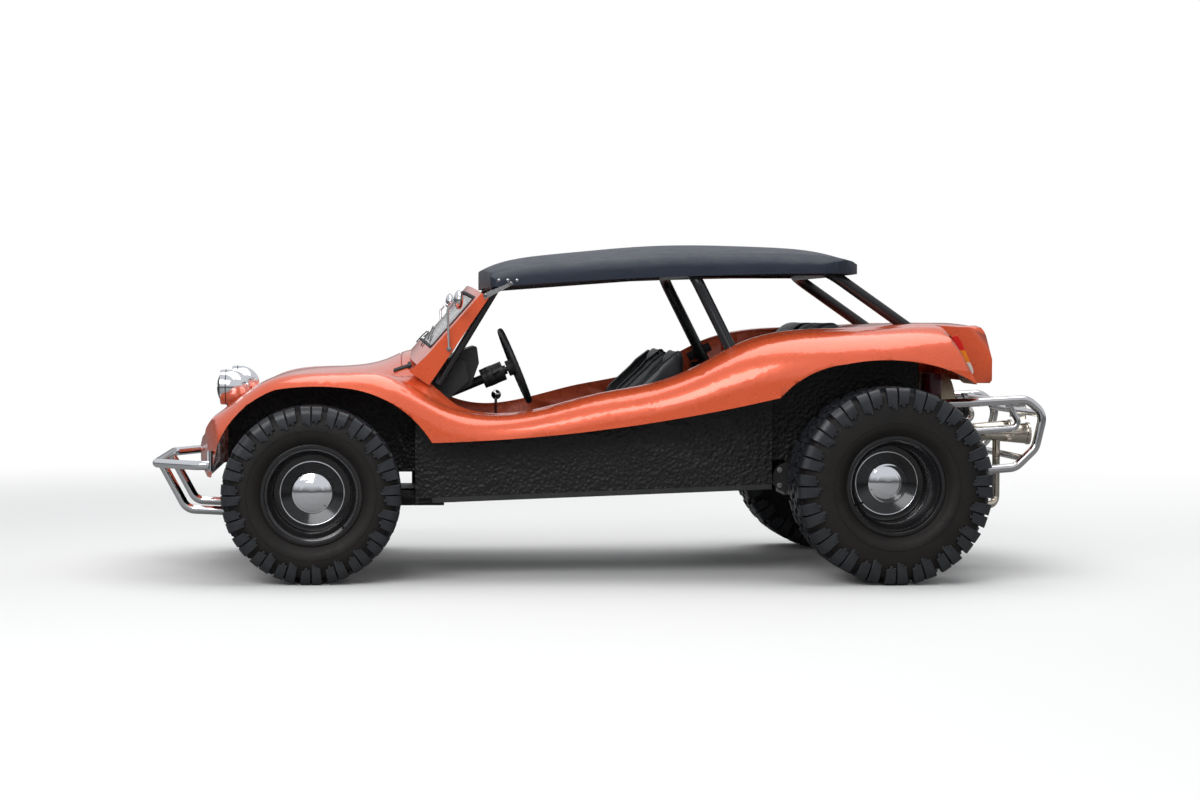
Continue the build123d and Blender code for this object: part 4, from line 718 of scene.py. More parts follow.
casing_rubber = finish_material("casing_rubber", (0.0060, 0.0054, 0.0050), (0.011, 0.0095, 0.0085),
                                (0.52, 0.70), patch=22.0, dust=(0.95, 0.10, (0.070, 0.050, 0.036)),
                                grain=(0.0018, 0.00018, 0.8), Specular_IOR_Level=0.26)
lug_rubber = finish_material("lug_rubber", (0.0060, 0.0070, 0.0090), (0.010, 0.0118, 0.015), (0.30, 0.46),
                             patch=26.0, wear=(0.9, (0.030, 0.034, 0.040)),
                             dust=(0.45, 0.10, (0.085, 0.065, 0.050)), grain=(0.0018, 0.00012, 0.8),
                             Specular_IOR_Level=0.45)
for end, size in ENDS.items():
    for piece, material, name in zip(build_tyre(end, size), (casing_rubber, lug_rubber), ("casing", "lugs")):
        other = copy_moved(piece, MIRRORED)
        for half, side in ((piece, "right"), (other, "left")):
            half.name = f"tyre_{name}_{end}_{side}"
            dress(half, material, f"wheel_{end}_{side}", f"tyre_{end}_{side}", slot="tyre")
        print(end, name, "faces", len(piece.data.polygons))

# %% [markdown]
# The wheels are wide steel rims with a stepped bead seat, a deep barrel and a flat disc far
# inside. Gloss black paint shows mostly as thin rings of light, so the steps of the profile
# matter more than its colour. The hub caps are pressed chrome: a thin rolled edge, a cone and
# a domed middle.

# %% Rims, caps and drums
def rim_profile(face, rim, disc):
    inner = face - rim
    lip, seat, drop = 0.2075, 0.1905, 0.1685
    front = [(lip, face - 0.007), (lip, face - 0.002), (lip - 0.002, face - 0.0003),
             (lip - 0.006, face - 0.001), (0.1935, face - 0.0005), (0.1915, face - 0.003),
             (0.1880, face - 0.010), (0.1845, face - 0.016),
             (0.1845, face - 0.038), (0.1815, face - 0.042), (0.1815, face - 0.046), (0.1845, face - 0.049),
             (drop - 0.006, face - 0.066), (drop - 0.006, face - disc + 0.010), (drop - 0.012, face - disc),
             (0.135, face - disc), (0.032, face - disc)]
    back = [(0.032, face - disc - 0.007), (drop - 0.006, face - disc - 0.007), (drop - 0.006, inner + 0.054),
            (0.1845, inner + 0.040), (0.1845, inner + 0.002), (lip, inner), (lip, inner + 0.007),
            (seat, inner + 0.008), (seat, inner + 0.042), (drop, inner + 0.056), (drop, face - 0.064),
            (seat, face - 0.048), (seat, face - 0.008)]
    return front + back


def cap_form(face, disc):
    """Thin bright edge, steep dark dish, rolled shoulder and domed middle."""
    base = face - disc + 0.0003
    return ([(0.120, base), (0.134, base + 0.0005), (0.134, base + 0.0030), (0.1333, base + 0.0038),
             (0.1322, base + 0.0036), (0.1312, base + 0.0022), (0.1290, base + 0.0024),
             (0.1282, base + 0.0028), (0.0856, base + 0.0237), (0.0850, base + 0.0240),
             (0.0835, base + 0.0256), (0.0815, base + 0.0264)]
            + arc((0.0790, base + 0.0268), (0.050, base + 0.0395), (0.004, base + 0.0415), 12)
            + [(0.0005, base + 0.0415), (0.0005, base + 0.0385)]
            + arc((0.050, base + 0.0370), (0.080, base + 0.020), (0.118, base + 0.0024), 4))


def drum_form(face, disc, bore, depth, radius):
    front = face - disc - 0.0072
    return [(bore, front), (radius, front), (radius, front - depth), (radius - 0.007, front - depth),
            (radius - 0.007, front - 0.007), (bore + 0.016, front - 0.007), (bore + 0.016, front - depth),
            (bore, front - depth)]


def build_valve(x, z, face, place):
    """Rubber valve stem that points out of the barrel."""
    path = [(x + place[0] * reach, face - depth, z + place[1] * reach)
            for reach, depth in ((1, 0.062), (0.965, 0.046), (0.93, 0.026))]
    return tube("valve", path, 0.0042, sides=12)


for end, size in ENDS.items():
    x, z = size["x"], size["radius"]
    face, disc = size["face"], size["disc"]
    rim = soften(turned("rim", rim_profile(face, size["rim"], disc), x, z, steps=128), 0.0007, 2)
    cap = soften(turned("cap", cap_form(face, disc), x, z, steps=96), 0)
    drum = soften(turned("drum", drum_form(face, disc, *size["hub"]), x, z), 0.0012, 2)
    valve = build_valve(x, z, face, size["valve"])
    for side, sign in SIDES:
        move = Matrix.Identity(4) if sign > 0 else MIRRORED
        body = f"wheel_{end}_{side}"
        dress(copy_moved(rim, move, f"rim_{end}_{side}"), gloss_black, body, f"wheel_{end}_{side}",
              slot="wheel_black")
        dress(copy_moved(cap, move, f"hub_cap_{end}_{side}"), chrome, body, f"cap_{end}_{side}",
              slot="chrome")
        dress(copy_moved(drum, move, f"brake_drum_{end}_{side}"), cast_alloy, body)
        dress(copy_moved(valve, move, f"valve_{end}_{side}"), rubber, body)
    for piece in (rim, cap, drum, valve):
        bpy.data.objects.remove(piece)

# %% [markdown]
# Many solids already have their final form. They only need welded corners, a small rounding
# of the edges and the right finish.

# %% Pieces that keep their form
glass = finish_material("clear_glass", (0.93, 0.97, 0.96), (0.90, 0.95, 0.94), (0.0, 0.02), patch=2.0,
                        Transmission_Weight=1.0, IOR=1.45)
seat_vinyl = finish_material("seat_vinyl", (0.007, 0.008, 0.010), (0.012, 0.0135, 0.0165), (0.34, 0.48),
                             patch=9.0, grain=(0.0017, 0.00018, 0.35), Specular_IOR_Level=0.40,
                             Sheen_Weight=0.04)
maroon = finish_material("maroon_steel", (0.060, 0.006, 0.012), (0.045, 0.005, 0.010), (0.16, 0.26),
                         patch=9.0, Coat_Weight=0.8)
cream = finish_material("cream_steel", (0.66, 0.60, 0.46), (0.60, 0.54, 0.40), (0.20, 0.32), patch=9.0,
                        dust=(0.9, 0.25, DUST), Coat_Weight=0.6)
warm_steel = finish_material("heat_tinted_steel", (0.66, 0.62, 0.55), (0.58, 0.50, 0.40), (0.12, 0.28),
                             patch=7.0, dust=(0.5, 0.15, DUST), Metallic=1.0)
cage_black = finish_material("cage_powder_coat", (0.010, 0.011, 0.013), (0.015, 0.017, 0.020), (0.22, 0.34),
                             patch=12.0, grain=(0.0012, 0.00006, 0.6), Specular_IOR_Level=0.45)

PLAIN = {
    "body_shell": (paint, 0), "bonnet": (paint, 0.0008), "screen_frame": (paint, 0.0020),
    "bonnet_latches": (rubber, 0.0008), "tub": (liner, 0.002), "floor_pan": (satin_black, 0.002),
    "screen_glass": (glass, 0), "roof": (roof_vinyl, 0), "roof_brackets": (zinc, 0.0008),
    "roll_cage": (cage_black, 0), "dashboard": (padded_black, 0.002), "steering_column": (satin_black, 0.001),
    "steering_wheel": (padded_black, 0.001), "controls": (chrome, 0.0008), "mirrors": (chrome, 0.0006),
    "front_bumper": (chrome, 0), "rear_bumper": (polished_tube, 0), "front_beam": (satin_black, 0.0012),
    "track_rod": (zinc, 0.0005), "dampers": (satin_black, 0.0006), "rear_suspension": (satin_black, 0.0012),
    "transaxle": (cast_alloy, 0.002), "engine": (cast_alloy, 0.002), "fan_shroud": (cream, 0.002),
    "filters": (maroon, 0.0008), "exhaust": (warm_steel, 0), "fuel_tank": (satin_black, 0.002),
    "knuckle_left": (satin_black, 0.001), "knuckle_right": (satin_black, 0.001),
}
for name, (material, width) in PLAIN.items():
    piece = refine(name, material, width)
    print(name, len(piece.data.polygons))

# %% [markdown]
# The tub's outside is black liner, but its upper inner walls are painted like the body, and the
# paint shows across the open cabin. The wall has no edge where the paint ends, so the copy is
# bisected along the line of the sill first, and the faces above that line get the paint. The
# smooth rails under the sills and the generator on the fan housing get a second finish too.

# %% Painted inner walls
SILL_LINE = (Vector((station(493), 0, 0.596)), Vector((station(1930), 0, 0.792)))
PAINT_FROM = station(430)
REAR_WALL_FROM = station(1800)
RAIL_BAND = 0.0025
RAIL_TOP = 0.42
GENERATOR_X = REAR_X + 0.396


def paint_inner_walls(tub_piece):
    start, end = SILL_LINE
    along = (end - start).normalized()
    normal = Vector((0, 1, 0)).cross(along)
    edit_all(tub_piece)
    bpy.ops.mesh.bisect(plane_co=start, plane_no=normal)
    bpy.ops.object.mode_set(mode="OBJECT")
    tub_piece.data.materials.append(paint)
    painted = 0
    for face in tub_piece.data.polygons:
        inward = face.normal.y * face.center.y < -0.3 * abs(face.center.y)
        behind = face.normal.x < -0.7 and face.center.x > REAR_WALL_FROM
        above = (face.center - start).dot(normal) * (1 if normal.z > 0 else -1) > 0
        if above and (inward or behind) and face.center.x > PAINT_FROM:
            face.material_index = 1
            painted += 1
    return painted


def second_finish(piece, material, chosen):
    """Gives the faces for which chosen(centre) is true another material; returns how many."""
    piece.data.materials.append(material)
    slot = len(piece.data.materials) - 1
    faces = [face for face in piece.data.polygons if chosen(face.center)]
    for face in faces:
        face.material_index = slot
    return len(faces)


tub_dressed = bpy.data.objects["tub_dressed"]
print("faces painted inside:", paint_inner_walls(tub_dressed))
rail_y = max(abs(corner.co.y) for corner in tub_dressed.data.vertices) - RAIL_BAND
rail_faces = second_finish(tub_dressed, satin_black, lambda c: abs(c.y) > rail_y and c.z < RAIL_TOP)
print("rail faces:", rail_faces)
shroud = bpy.data.objects["fan_shroud_dressed"]
generator = second_finish(shroud, gloss_black, lambda c: c.x > GENERATOR_X)
print("generator faces:", generator)

# %% [markdown]
# Bolts and rivets hold much of this car together in plain sight. One hexagon bolt is modelled
# with a chamfered head on a washer, and one rivet with a round head; all others are copies. The
# rivets are set where a ray from the side meets the roof's edge, and stand along its normal.

# %% One bolt, copied
def round_head(name, sides, radius, depth, height, rounding, segments=1):
    """Short bar along Z with its middle at that height, its edges bevelled."""
    bpy.ops.object.select_all(action="DESELECT")
    bpy.ops.mesh.primitive_cylinder_add(vertices=sides, radius=radius, depth=depth, location=(0, 0, height))
    head = bpy.context.object
    head.name = name
    bpy.ops.object.transform_apply(location=True)
    edit_all(head)
    bpy.ops.mesh.bevel(offset=rounding, segments=segments)
    bpy.ops.object.mode_set(mode="OBJECT")
    return head


def build_bolt(radius=0.007, height=0.005):
    """Hexagon head and washer, standing along Z with its seat at the origin."""
    head = round_head("head", 6, radius, height, height / 2 + 0.0012, radius * 0.10)
    washer = round_head("washer", 20, radius * 1.45, 0.0014, 0.0006, 0.0003)
    bolt = joined("bolt", [head, washer])
    bpy.ops.object.shade_smooth_by_angle(angle=math.radians(30))
    return bolt


def bolts(name, places, material, body, scale=1.0):
    """Copies of the bolt at (place, direction) pairs, joined to one piece."""
    copies = []
    for place, direction in places:
        turn = Vector(direction).to_track_quat("Z", "Y").to_matrix().to_4x4()
        copies.append(copy_moved(bolt, Matrix.Translation(place) @ turn @ Matrix.Scale(scale, 4)))
    return dress(joined(name, copies), material, body)


COVER_X, COVER_Z = REAR_X - 0.400, 0.425
COVER_FACE = 0.5843
COVER_CIRCLE = 0.046
BRACKET_FACE = 0.5902
BRACKET_BOLTS = ((716, 1.190), (822, 1.239))
RIVET_STATIONS = (773, 811, 849)
RIVET_Z = 1.254

bolt = build_bolt()
cover_bolts, roof_bolts = [], []
for side, sign in SIDES:
    for turn in (math.radians(45 + 90 * k) for k in range(4)):
        aft, up = COVER_CIRCLE * math.cos(turn), COVER_CIRCLE * math.sin(turn)
        cover_bolts.append(((COVER_X + aft, sign * COVER_FACE, COVER_Z + up), (0, sign, 0)))
    for aft, z in BRACKET_BOLTS:
        roof_bolts.append(((station(aft), sign * BRACKET_FACE, z), (0, sign, 0)))
bolts("torsion_cover_bolts", cover_bolts, zinc, "chassis", 1.15)
bolts("roof_bracket_bolts", roof_bolts, chrome, "chassis", 0.9)

rivet = round_head("rivet", 20, 0.0062, 0.0036, 0.0014, 0.0016, 3)
bpy.ops.object.shade_smooth()
rivets = []
roof_dressed = bpy.data.objects["roof_dressed"]
bpy.context.view_layer.update()
for side, sign in SIDES:
    for aft in RIVET_STATIONS:
        start = (station(aft), sign * 0.9, RIVET_Z)
        found, place, normal, face = roof_dressed.ray_cast(start, (0, -sign, 0))
        if found:
            turn = normal.to_track_quat("Z", "Y").to_matrix().to_4x4()
            rivets.append(copy_moved(rivet, Matrix.Translation(place) @ turn))
dress(joined("roof_rivets", rivets), chrome, "chassis")
bpy.data.objects.remove(rivet)
print("bolts and", len(rivets), "rivets in place")

# %% [markdown]
# The hoop of the roll cage stands on a clamp that is bolted to the cabin wall: two half shells
# round the tube with a plate either side. The plates are cut from an outline and rounded.

# %% Clamps at the foot of the hoop
def build_hoop_clamp():
    halves = []
    for name, half_a, half_b, face, thick, rounding, segments in CLAMP_PARTS:
        corners = [(-half_a, -half_b), (half_a, -half_b), (half_a, half_b), (-half_a, half_b)]
        centre = CLAMP_CENTRE + Vector((0, -face, 0))
        outline = [centre + CLAMP_ACROSS * a + CLAMP_ALONG * b for a, b in corners]
        halves.append(soften(plate(name, outline, (0, thick, 0)), rounding, segments))
    return joined("hoop_clamp_left", halves)


HOOP_LEAN = math.atan2(0.210, 0.413)
CLAMP_ALONG = Vector((-math.sin(HOOP_LEAN), 0, math.cos(HOOP_LEAN)))
CLAMP_ACROSS = Vector((math.cos(HOOP_LEAN), 0, math.sin(HOOP_LEAN)))
CLAMP_CENTRE = Vector((station(1777), 0, 0.942))
CLAMP_BOLT_REACH = 0.045
# Half sizes across and along the tube, outer face, thickness, then rounding and its segments
CLAMP_PARTS = (("strap", 0.058, 0.020, 0.574, 0.006, 0.0015, 2),
               ("half_shell", 0.030, 0.026, 0.572, 0.020, 0.005, 3))
hoop_clamp = build_hoop_clamp()
right_clamp = copy_moved(hoop_clamp, MIRRORED, "hoop_clamp_right")
dress(hoop_clamp, satin_black, "chassis")
dress(right_clamp, satin_black, "chassis")
clamp_bolts = []
for side, sign in SIDES:
    for reach in (-CLAMP_BOLT_REACH, CLAMP_BOLT_REACH):
        place = CLAMP_CENTRE + CLAMP_ACROSS * reach + Vector((0, sign * CLAMP_PARTS[0][3], 0))
        clamp_bolts.append((place, (0, sign, 0)))
bolts("hoop_clamp_bolts", clamp_bolts, chrome, "chassis", 1.2)
bpy.data.objects.remove(bolt)
print("hoop clamps at", [round(v, 3) for v in CLAMP_CENTRE])

# %% [markdown]
# The glass sits in a thick black seal. The seal follows the opening of the frame, which leans
# back and bows forward in the middle, so its path is written in the plane of the screen and
# then placed in space by one function.

# %% Screen seal and wipers
LEAN = math.radians(41)
SCREEN_HALF = 0.585
SCREEN_BOW = 0.055
SCREEN_FOOT_X = station(475)
SCREEN_FOOT_Z = 0.940
# Half width, lower and upper edge of the opening
SCREEN_OPENING = (0.540, 0.030, 0.315)


def screen_point(y, up, out):
    """Point on the screen from its place across, up the slope and out of the glass."""
    bow = SCREEN_BOW * (1 - (y / SCREEN_HALF) ** 2) + out
    x = SCREEN_FOOT_X + up * math.sin(LEAN) - bow * math.cos(LEAN)
    return (x, y, SCREEN_FOOT_Z + up * math.cos(LEAN) + bow * math.sin(LEAN))


def screen_border(inset, out):
    half, low, high = SCREEN_OPENING[0] - inset, SCREEN_OPENING[1] + inset, SCREEN_OPENING[2] - inset
    across = [half * t for t in (-0.97, -0.6, -0.2, 0.2, 0.6, 0.97)]
    upwards = (low, low + 0.03, (low + high) / 2, high - 0.03, high)
    path = [(y, low) for y in across] + [(half, up) for up in upwards]
    path += [(y, high) for y in reversed(across)] + [(-half, up) for up in reversed(upwards)]
    return [screen_point(y, up, out) for y, up in path]


seal = tube("screen_seal", screen_border(0.004, -0.004), 0.0085, closed=True, sides=12)
dress(seal, rubber, "chassis")
for number, (foot, tip) in enumerate(((-0.34, -0.06), (0.10, 0.38))):
    middle = (foot + tip) / 2
    arm = tube("wiper_arm", [screen_point(foot, 0.012, 0.004), screen_point(foot + 0.02, 0.040, 0.007),
                             screen_point(middle, 0.080, 0.006)], 0.0028, sides=8)
    blade = tube("wiper_blade", [screen_point(foot + 0.03, 0.052, -0.004),
                                 screen_point(middle, 0.080, -0.004),
                                 screen_point(tip + 0.02, 0.112, -0.004)], 0.0030, sides=8)
    dress(joined(f"wiper_{number + 1}", [arm, blade]), satin_black, "chassis")
print("seal length about", round(2 * (1.08 + 0.285), 2), "m")

# %% [markdown]
# Each headlamp is a chrome bullet with a hollow reflector, a clear lens, a rolled bezel in front
# and a thin black gasket where the bezel meets the bowl. All of them are turned on the lathe and
# then swung round to face forwards. The round stretch of a profile runs through three points.

# %% Headlamps
def bend_through(first, middle, last, count=12):
    """Points of the circle arc that runs through three points of a plane."""
    a, b, c = (complex(*p) for p in (first, middle, last))
    w = (c - a) / (b - a)
    centre = a + (b - a) * (w - abs(w) ** 2) / (2j * w.imag)
    start, stop = a - centre, c - centre
    swing = stop / start
    sweep = math.atan2(swing.imag, swing.real)
    run = []
    for k in range(count + 1):
        turn = sweep * k / count
        point = centre + start * complex(math.cos(turn), math.sin(turn))
        run.append((point.real, point.imag))
    return run


def facing_forward(piece, x, y, z):
    """Swings lathe work from the Y axle to the X axle and sets it at a point."""
    piece.data.transform(Matrix.Translation((x, y, z)) @ Matrix.Rotation(math.radians(90), 4, "Z"))
    return piece


LAMP_X, LAMP_Y, LAMP_Z = station(-385), 0.397, 0.798
reflector = [(0.066 * k / 8 + 0.0005, -0.046 * (1 - (k / 8) ** 2)) for k in range(9)]
bowl = bend_through((0.073, -0.018), (0.0555, -0.0806), (0.012, -0.112), 20) + [(0.0005, -0.112)]
lens_front = bend_through((0.069, 0.0003), (0.040, 0.0157), (0.012, 0.0223), 8)
lens_back = bend_through((0.010, 0.0193), (0.038, 0.0128), (0.066, 0.0003), 8)
LAMP_PARTS = (
    ("headlamp_bowl_", chrome, ("headlamps",), reflector + [(0.0728, 0.0)] + bowl),
    ("headlamp_lens_", glass, ("headlamp_lenses",),
     lens_front + [(0.0005, 0.0226), (0.0005, 0.0196)] + lens_back),
    ("headlamp_bezel_", chrome, (),
     [(0.0665, 0.0), (0.0672, 0.0060), (0.0700, 0.0078), (0.0728, 0.0060), (0.0738, 0.0),
      (0.0738, -0.014), (0.0732, -0.014), (0.0700, -0.0005)]),
    ("headlamp_gasket_", rubber, (),
     [(0.0725, -0.0142), (0.0745, -0.0146), (0.0748, -0.0178), (0.0725, -0.0182)]),
)
for label, material, solids, form in LAMP_PARTS:
    part = soften(turned("lamp_part", form, 0, 0, steps=72), 0)
    for side, sign in SIDES:
        ring = copy_moved(part, Matrix.Identity(4), label + side)
        dress(facing_forward(ring, LAMP_X, sign * LAMP_Y, LAMP_Z), material, "chassis", *solids)
    bpy.data.objects.remove(part)
print("headlamps at", round(LAMP_X, 3))

# %% [markdown]
# The tail lamps are long lenses in three colours: red above, amber in the middle and a clear
# lower end. One material holds all three, because the colour changes with height on the piece.
# Each lens stands on a black rubber pad that shows as a dark line along the fender's end.

# %% Tail lamps
LENS_CLEAR = (0.62, 0.60, 0.56, 1)
LENS_AMBER = (0.75, 0.21, 0.012, 1)
LENS_RED = (0.55, 0.012, 0.010, 1)


def build_lens_material():
    material = finish_material("tail_lens", (0.55, 0.012, 0.010), (0.45, 0.008, 0.008), (0.05, 0.12),
                               patch=12.0, Coat_Weight=1.0)
    tree = material.node_tree
    place = node(tree, "TexCoord")
    split = node(tree, "SeparateXYZ")
    bands = node(tree, "ValToRGB")
    bands.color_ramp.interpolation = "CONSTANT"
    bands.color_ramp.elements[0].color = LENS_CLEAR
    bands.color_ramp.elements[1].position = 0.30
    bands.color_ramp.elements[1].color = LENS_AMBER
    bands.color_ramp.elements.new(0.58).color = LENS_RED
    height = node(tree, "MapRange", From_Min=0.865, From_Max=1.045)
    wire(tree, place, "Object", split, 0)
    wire(tree, split, "Z", height, "Value")
    wire(tree, height, "Result", bands, "Fac")
    surface = next(n for n in tree.nodes if n.type == "BSDF_PRINCIPLED")
    wire(tree, bands, "Color", surface, "Base Color")
    return material


refine("tail_lamps", build_lens_material(), 0.001)
FENDER_END = (Vector((REAR_X + 0.215, 0, 1.110)), Vector((REAR_X + 0.360, 0, 0.828)))
PAD_REACH = (0.088, 0.289)
PAD_SIDES = (0.632, 0.758)
PAD_THICK = 0.003
down = (FENDER_END[1] - FENDER_END[0]).normalized()
out = Vector((-down.z, 0, down.x))
for side, sign in SIDES:
    upper, lower = (FENDER_END[0] + down * reach for reach in PAD_REACH)
    inner, outer = (Vector((0, sign * y, 0)) for y in PAD_SIDES)
    outline = [upper + inner, upper + outer, lower + outer, lower + inner]
    pad = soften(plate("lamp_pad_" + side, outline, out * PAD_THICK), 0.0008, 1)
    dress(pad, rubber, "chassis")
print("tail lamps:", round(down.x, 3), round(down.z, 3))

# %% [markdown]
# Behind the steering wheel sits the switch block, a fluted black drum on the column with two
# stalks. The rim of the wheel is moulded with finger grips, which are small swellings along
# the ring. The rim turns with the wheel, so it rides on that body.

# %% Steering wheel and switch block
SLOPE = math.radians(22.6)
HUB = Vector((station(855), -0.315, 0.890))
DOWN_COLUMN = Vector((-math.cos(SLOPE), 0, -math.sin(SLOPE)))
RIM_RADIUS = 0.162
RIM_THICK = 0.0125
GRIPS = 36
SWITCH_PLACE = 0.104


def along_column(piece, distance):
    """Swings lathe work from the Y axle to the column's axis."""
    turn = (-DOWN_COLUMN).to_track_quat("Y", "Z").to_matrix().to_4x4()
    piece.data.transform(Matrix.Translation(HUB + DOWN_COLUMN * distance) @ turn)
    return piece


drum_profile = [(0.0, 0.034), (0.030, 0.034), (0.037, 0.028), (0.037, 0.010), (0.043, 0.006), (0.043, -0.024),
                (0.036, -0.030), (0.0, -0.030)]
switch_drum = turned("switch_drum", drum_profile, 0, 0, steps=40, closed=False)
along_column(soften(switch_drum, 0.001, 1), SWITCH_PLACE)
# Distance down the column, distance to the side and height of each point of a stalk
STALK = ((0.100, 0.040, 0.0), (0.090, 0.090, 0.006), (0.075, 0.140, 0.012))
stalks = []
for sign in (-1, 1):
    path = [HUB + DOWN_COLUMN * along + Vector((0, sign * aside, up)) for along, aside, up in STALK]
    stalks.append(tube("stalk", path, 0.005, sides=10))
dress(joined("switch_block", [switch_drum] + stalks), satin_black, "chassis")


def build_rim_grips():
    """Ring turned on the lathe, its corners then drawn in between the grips."""
    section = [(RIM_RADIUS + RIM_THICK * math.cos(a), RIM_THICK * math.sin(a))
               for a in [math.radians(30 * k) for k in range(12)]]
    ring = turned("wheel_grip", section, 0, 0, steps=144)
    for corner in ring.data.vertices:
        turn = math.atan2(corner.co.z, corner.co.x)
        reach = math.hypot(corner.co.x, corner.co.z)
        swell = 1 - 0.10 * (0.5 + 0.5 * math.cos(turn * GRIPS)) ** 3
        reach = RIM_RADIUS + (reach - RIM_RADIUS) * swell
        corner.co = Vector((reach * math.cos(turn), corner.co.y * swell, reach * math.sin(turn)))
    ring.data.update()
    return along_column(soften(ring, 0), 0)


grips = build_rim_grips()
dress(grips, padded_black, "steering_wheel")
print("rim grips:", len(grips.data.vertices), "corners")

# %% [markdown]
# The seats are padded vinyl: a cushion, a leaning back and two side bolsters each, all sewn into
# lengthwise flutes. Padding is best found by simulation, because real stuffing pushes the cover
# out until the seams hold it. Each pad starts as a slightly small outline with rounded edges, is
# remeshed to even squares, blown up a little as cloth under pressure, and the result is kept.
# The flutes come last, since a remesh would swallow them.

# %% Padding helpers
CLOTH_FRAMES = 20
SEAM_WIDTH = 0.0052
EDGE_SEAM = 0.016


def pad_form(name, outline, near, far, rounding, segments=3):
    """Side outline in stations and heights, pulled across the car from near to far."""
    piece = plate(name, [(station(aft), near, z / 1000) for aft, z in outline], (0, far - near, 0))
    return soften(piece, rounding, segments)


def fill_pad(piece, pressure=4.0, most=0.010, cell=0.008):
    """Remesh, inflate as cloth, keep every point within the limit, then smooth once."""
    select_only(piece)
    grid = piece.modifiers.new("even_squares", "REMESH")
    grid.mode = "VOXEL"
    grid.voxel_size = cell
    grid.use_smooth_shade = True
    apply_modifiers(piece)
    start = [corner.co.copy() for corner in piece.data.vertices]
    cloth = piece.modifiers.new("stuffing", "CLOTH")
    cloth.settings.use_pressure = True
    cloth.settings.uniform_pressure_force = pressure
    cloth.settings.effector_weights.gravity = 0
    cloth.settings.mass = 0.4
    cloth.point_cache.frame_start = 1
    cloth.point_cache.frame_end = CLOTH_FRAMES
    for number in range(1, CLOTH_FRAMES + 1):
        scene.frame_set(number)
    bpy.ops.object.modifier_apply(modifier=cloth.name)
    for corner, before in zip(piece.data.vertices, start):
        moved = corner.co - before
        if moved.length > most:
            corner.co = before + moved.normalized() * most
    scene.frame_set(1)
    smooth = piece.modifiers.new("cover", "SUBSURF")
    smooth.levels = smooth.render_levels = 1
    apply_modifiers(piece)
    bpy.ops.object.shade_smooth()
    return piece


def sew_flutes(piece, facing, middle, half, count, depth=0.0045):
    """Presses straight seams into the side that faces the sitter, and a seam along each edge."""
    facing = Vector(facing)
    seams = [middle - half + 2 * half * k / count for k in range(count + 1)]
    seams[0] += EDGE_SEAM
    seams[-1] -= EDGE_SEAM
    pressed = []
    for corner in piece.data.vertices:
        towards = max(0.0, corner.normal.dot(facing))
        near = min(abs(corner.co.y - seam) for seam in seams)
        pressed.append(depth * min(1.0, towards * 1.6) * math.exp(-(near / SEAM_WIDTH) ** 2))
    for corner, depth_here in zip(piece.data.vertices, pressed):
        corner.co = corner.co - facing * depth_here
    piece.data.update()
    return piece


def upholster(piece, name, fill, *replaced):
    piece.name = name
    dress(piece, seat_vinyl, "chassis", *replaced, slot="seat_vinyl")
    return piece


# %% [markdown]
# A front seat is a cushion, a leaning back, two bolsters and a pan under them. The left and the
# right seat are copies at their own distance from the middle of the car.

# %% Front seats
SEAT_Y = 0.315
SEAT_PAN = ((1132, 418), (1478, 431), (1478, 474), (1132, 474))
CUSHION = ((1072, 468), (1070, 552), (1106, 578), (1428, 532), (1452, 500), (1436, 462))
BACKREST = ((1438, 512), (1524, 948), (1550, 972), (1567, 944), (1560, 850), (1528, 500))
BOLSTER = ((1098, 452), (1088, 612), (1254, 632), (1338, 792), (1470, 915), (1542, 962), (1564, 850),
           (1534, 456))
cushion = fill_pad(pad_form("cushion", CUSHION, -0.166, 0.166, 0.022))
sew_flutes(cushion, (0.12, 0, 0.99), 0, 0.166, 6)
backrest = fill_pad(pad_form("backrest", BACKREST, -0.166, 0.166, 0.014), most=0.008)
sew_flutes(backrest, (-0.97, 0, 0.24), 0, 0.166, 6)
bolster = fill_pad(pad_form("bolster", BOLSTER, 0.180, 0.217, 0.014), most=0.007)
base = pad_form("seat_pan", SEAT_PAN, -0.158, 0.158, 0.006, 2)
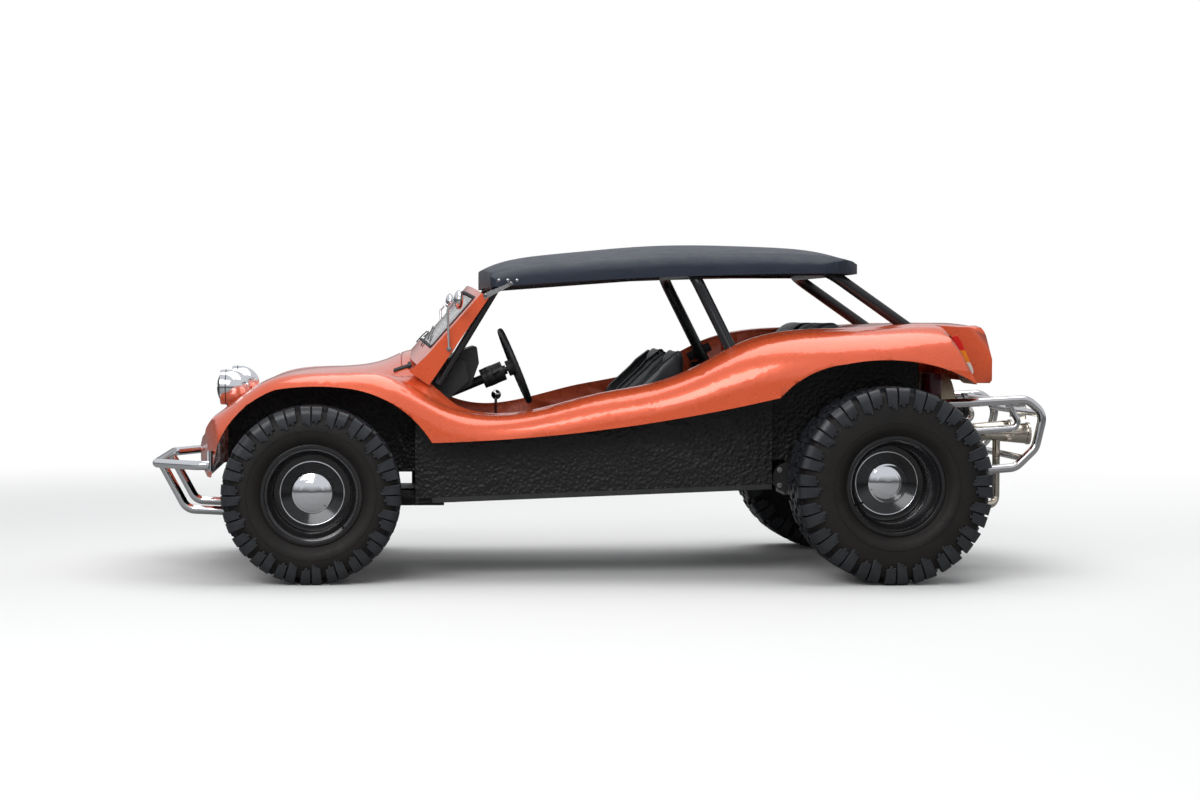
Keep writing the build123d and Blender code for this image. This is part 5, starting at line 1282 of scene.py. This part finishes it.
for side, sign in SIDES:
    place = Matrix.Translation((0, sign * SEAT_Y, 0))
    replaced = ("seats",) if side == "left" else ()
    upholster(copy_moved(cushion, place), f"seat_cushion_{side}", 0.8, *replaced)
    upholster(copy_moved(backrest, place), f"seat_back_{side}", 0.8, *replaced)
    upholster(copy_moved(bolster, place), f"seat_bolster_{side}_outer", 0.7, *replaced)
    upholster(copy_moved(bolster, place @ MIRRORED), f"seat_bolster_{side}_inner", 0.7, *replaced)
    dress(copy_moved(base, place, f"seat_pan_{side}"), satin_black, "chassis", *replaced)
for piece in (cushion, backrest, bolster, base):
    print(piece.name, len(piece.data.polygons))
    bpy.data.objects.remove(piece)

# %% [markdown]
# The rear bench is made the same way: one wide cushion, two backs that stand above the rear deck
# and a plain panel behind them.

# %% Rear bench
BENCH_CUSHION = ((1818, 600), (1808, 684), (1842, 712), (2066, 684), (2092, 604))
BENCH_BACK = ((2050, 650), (2118, 1044), (2164, 1088), (2232, 1093), (2266, 1052), (2260, 900), (2166, 632))
BENCH_PANEL = ((2046, 650), (2084, 892), (2196, 892), (2166, 628))
bench_cushion = fill_pad(pad_form("bench_cushion", BENCH_CUSHION, -0.490, 0.490, 0.024), cell=0.009)
sew_flutes(bench_cushion, (0.10, 0, 0.99), 0, 0.490, 12)
upholster(bench_cushion, "rear_bench_cushion", 0.8, "rear_bench")
bench_back = fill_pad(pad_form("bench_back", BENCH_BACK, 0.040, 0.480, 0.024), cell=0.009)
sew_flutes(bench_back, (-0.98, 0, 0.18), 0.260, 0.220, 6)
for side, sign in SIDES:
    move = Matrix.Identity(4) if sign > 0 else MIRRORED
    upholster(copy_moved(bench_back, move), f"rear_bench_back_{side}", 0.8, "rear_bench")
bpy.data.objects.remove(bench_back)
panel = pad_form("bench_panel", BENCH_PANEL, -0.494, 0.494, 0.008)
dress(panel, seat_vinyl, "chassis", "rear_bench", slot="seat_vinyl")
print("bench cushion", len(bench_cushion.data.polygons))

# %% [markdown]
# The last cell prints that the script has come to its end.

# %% Finish
print("done")
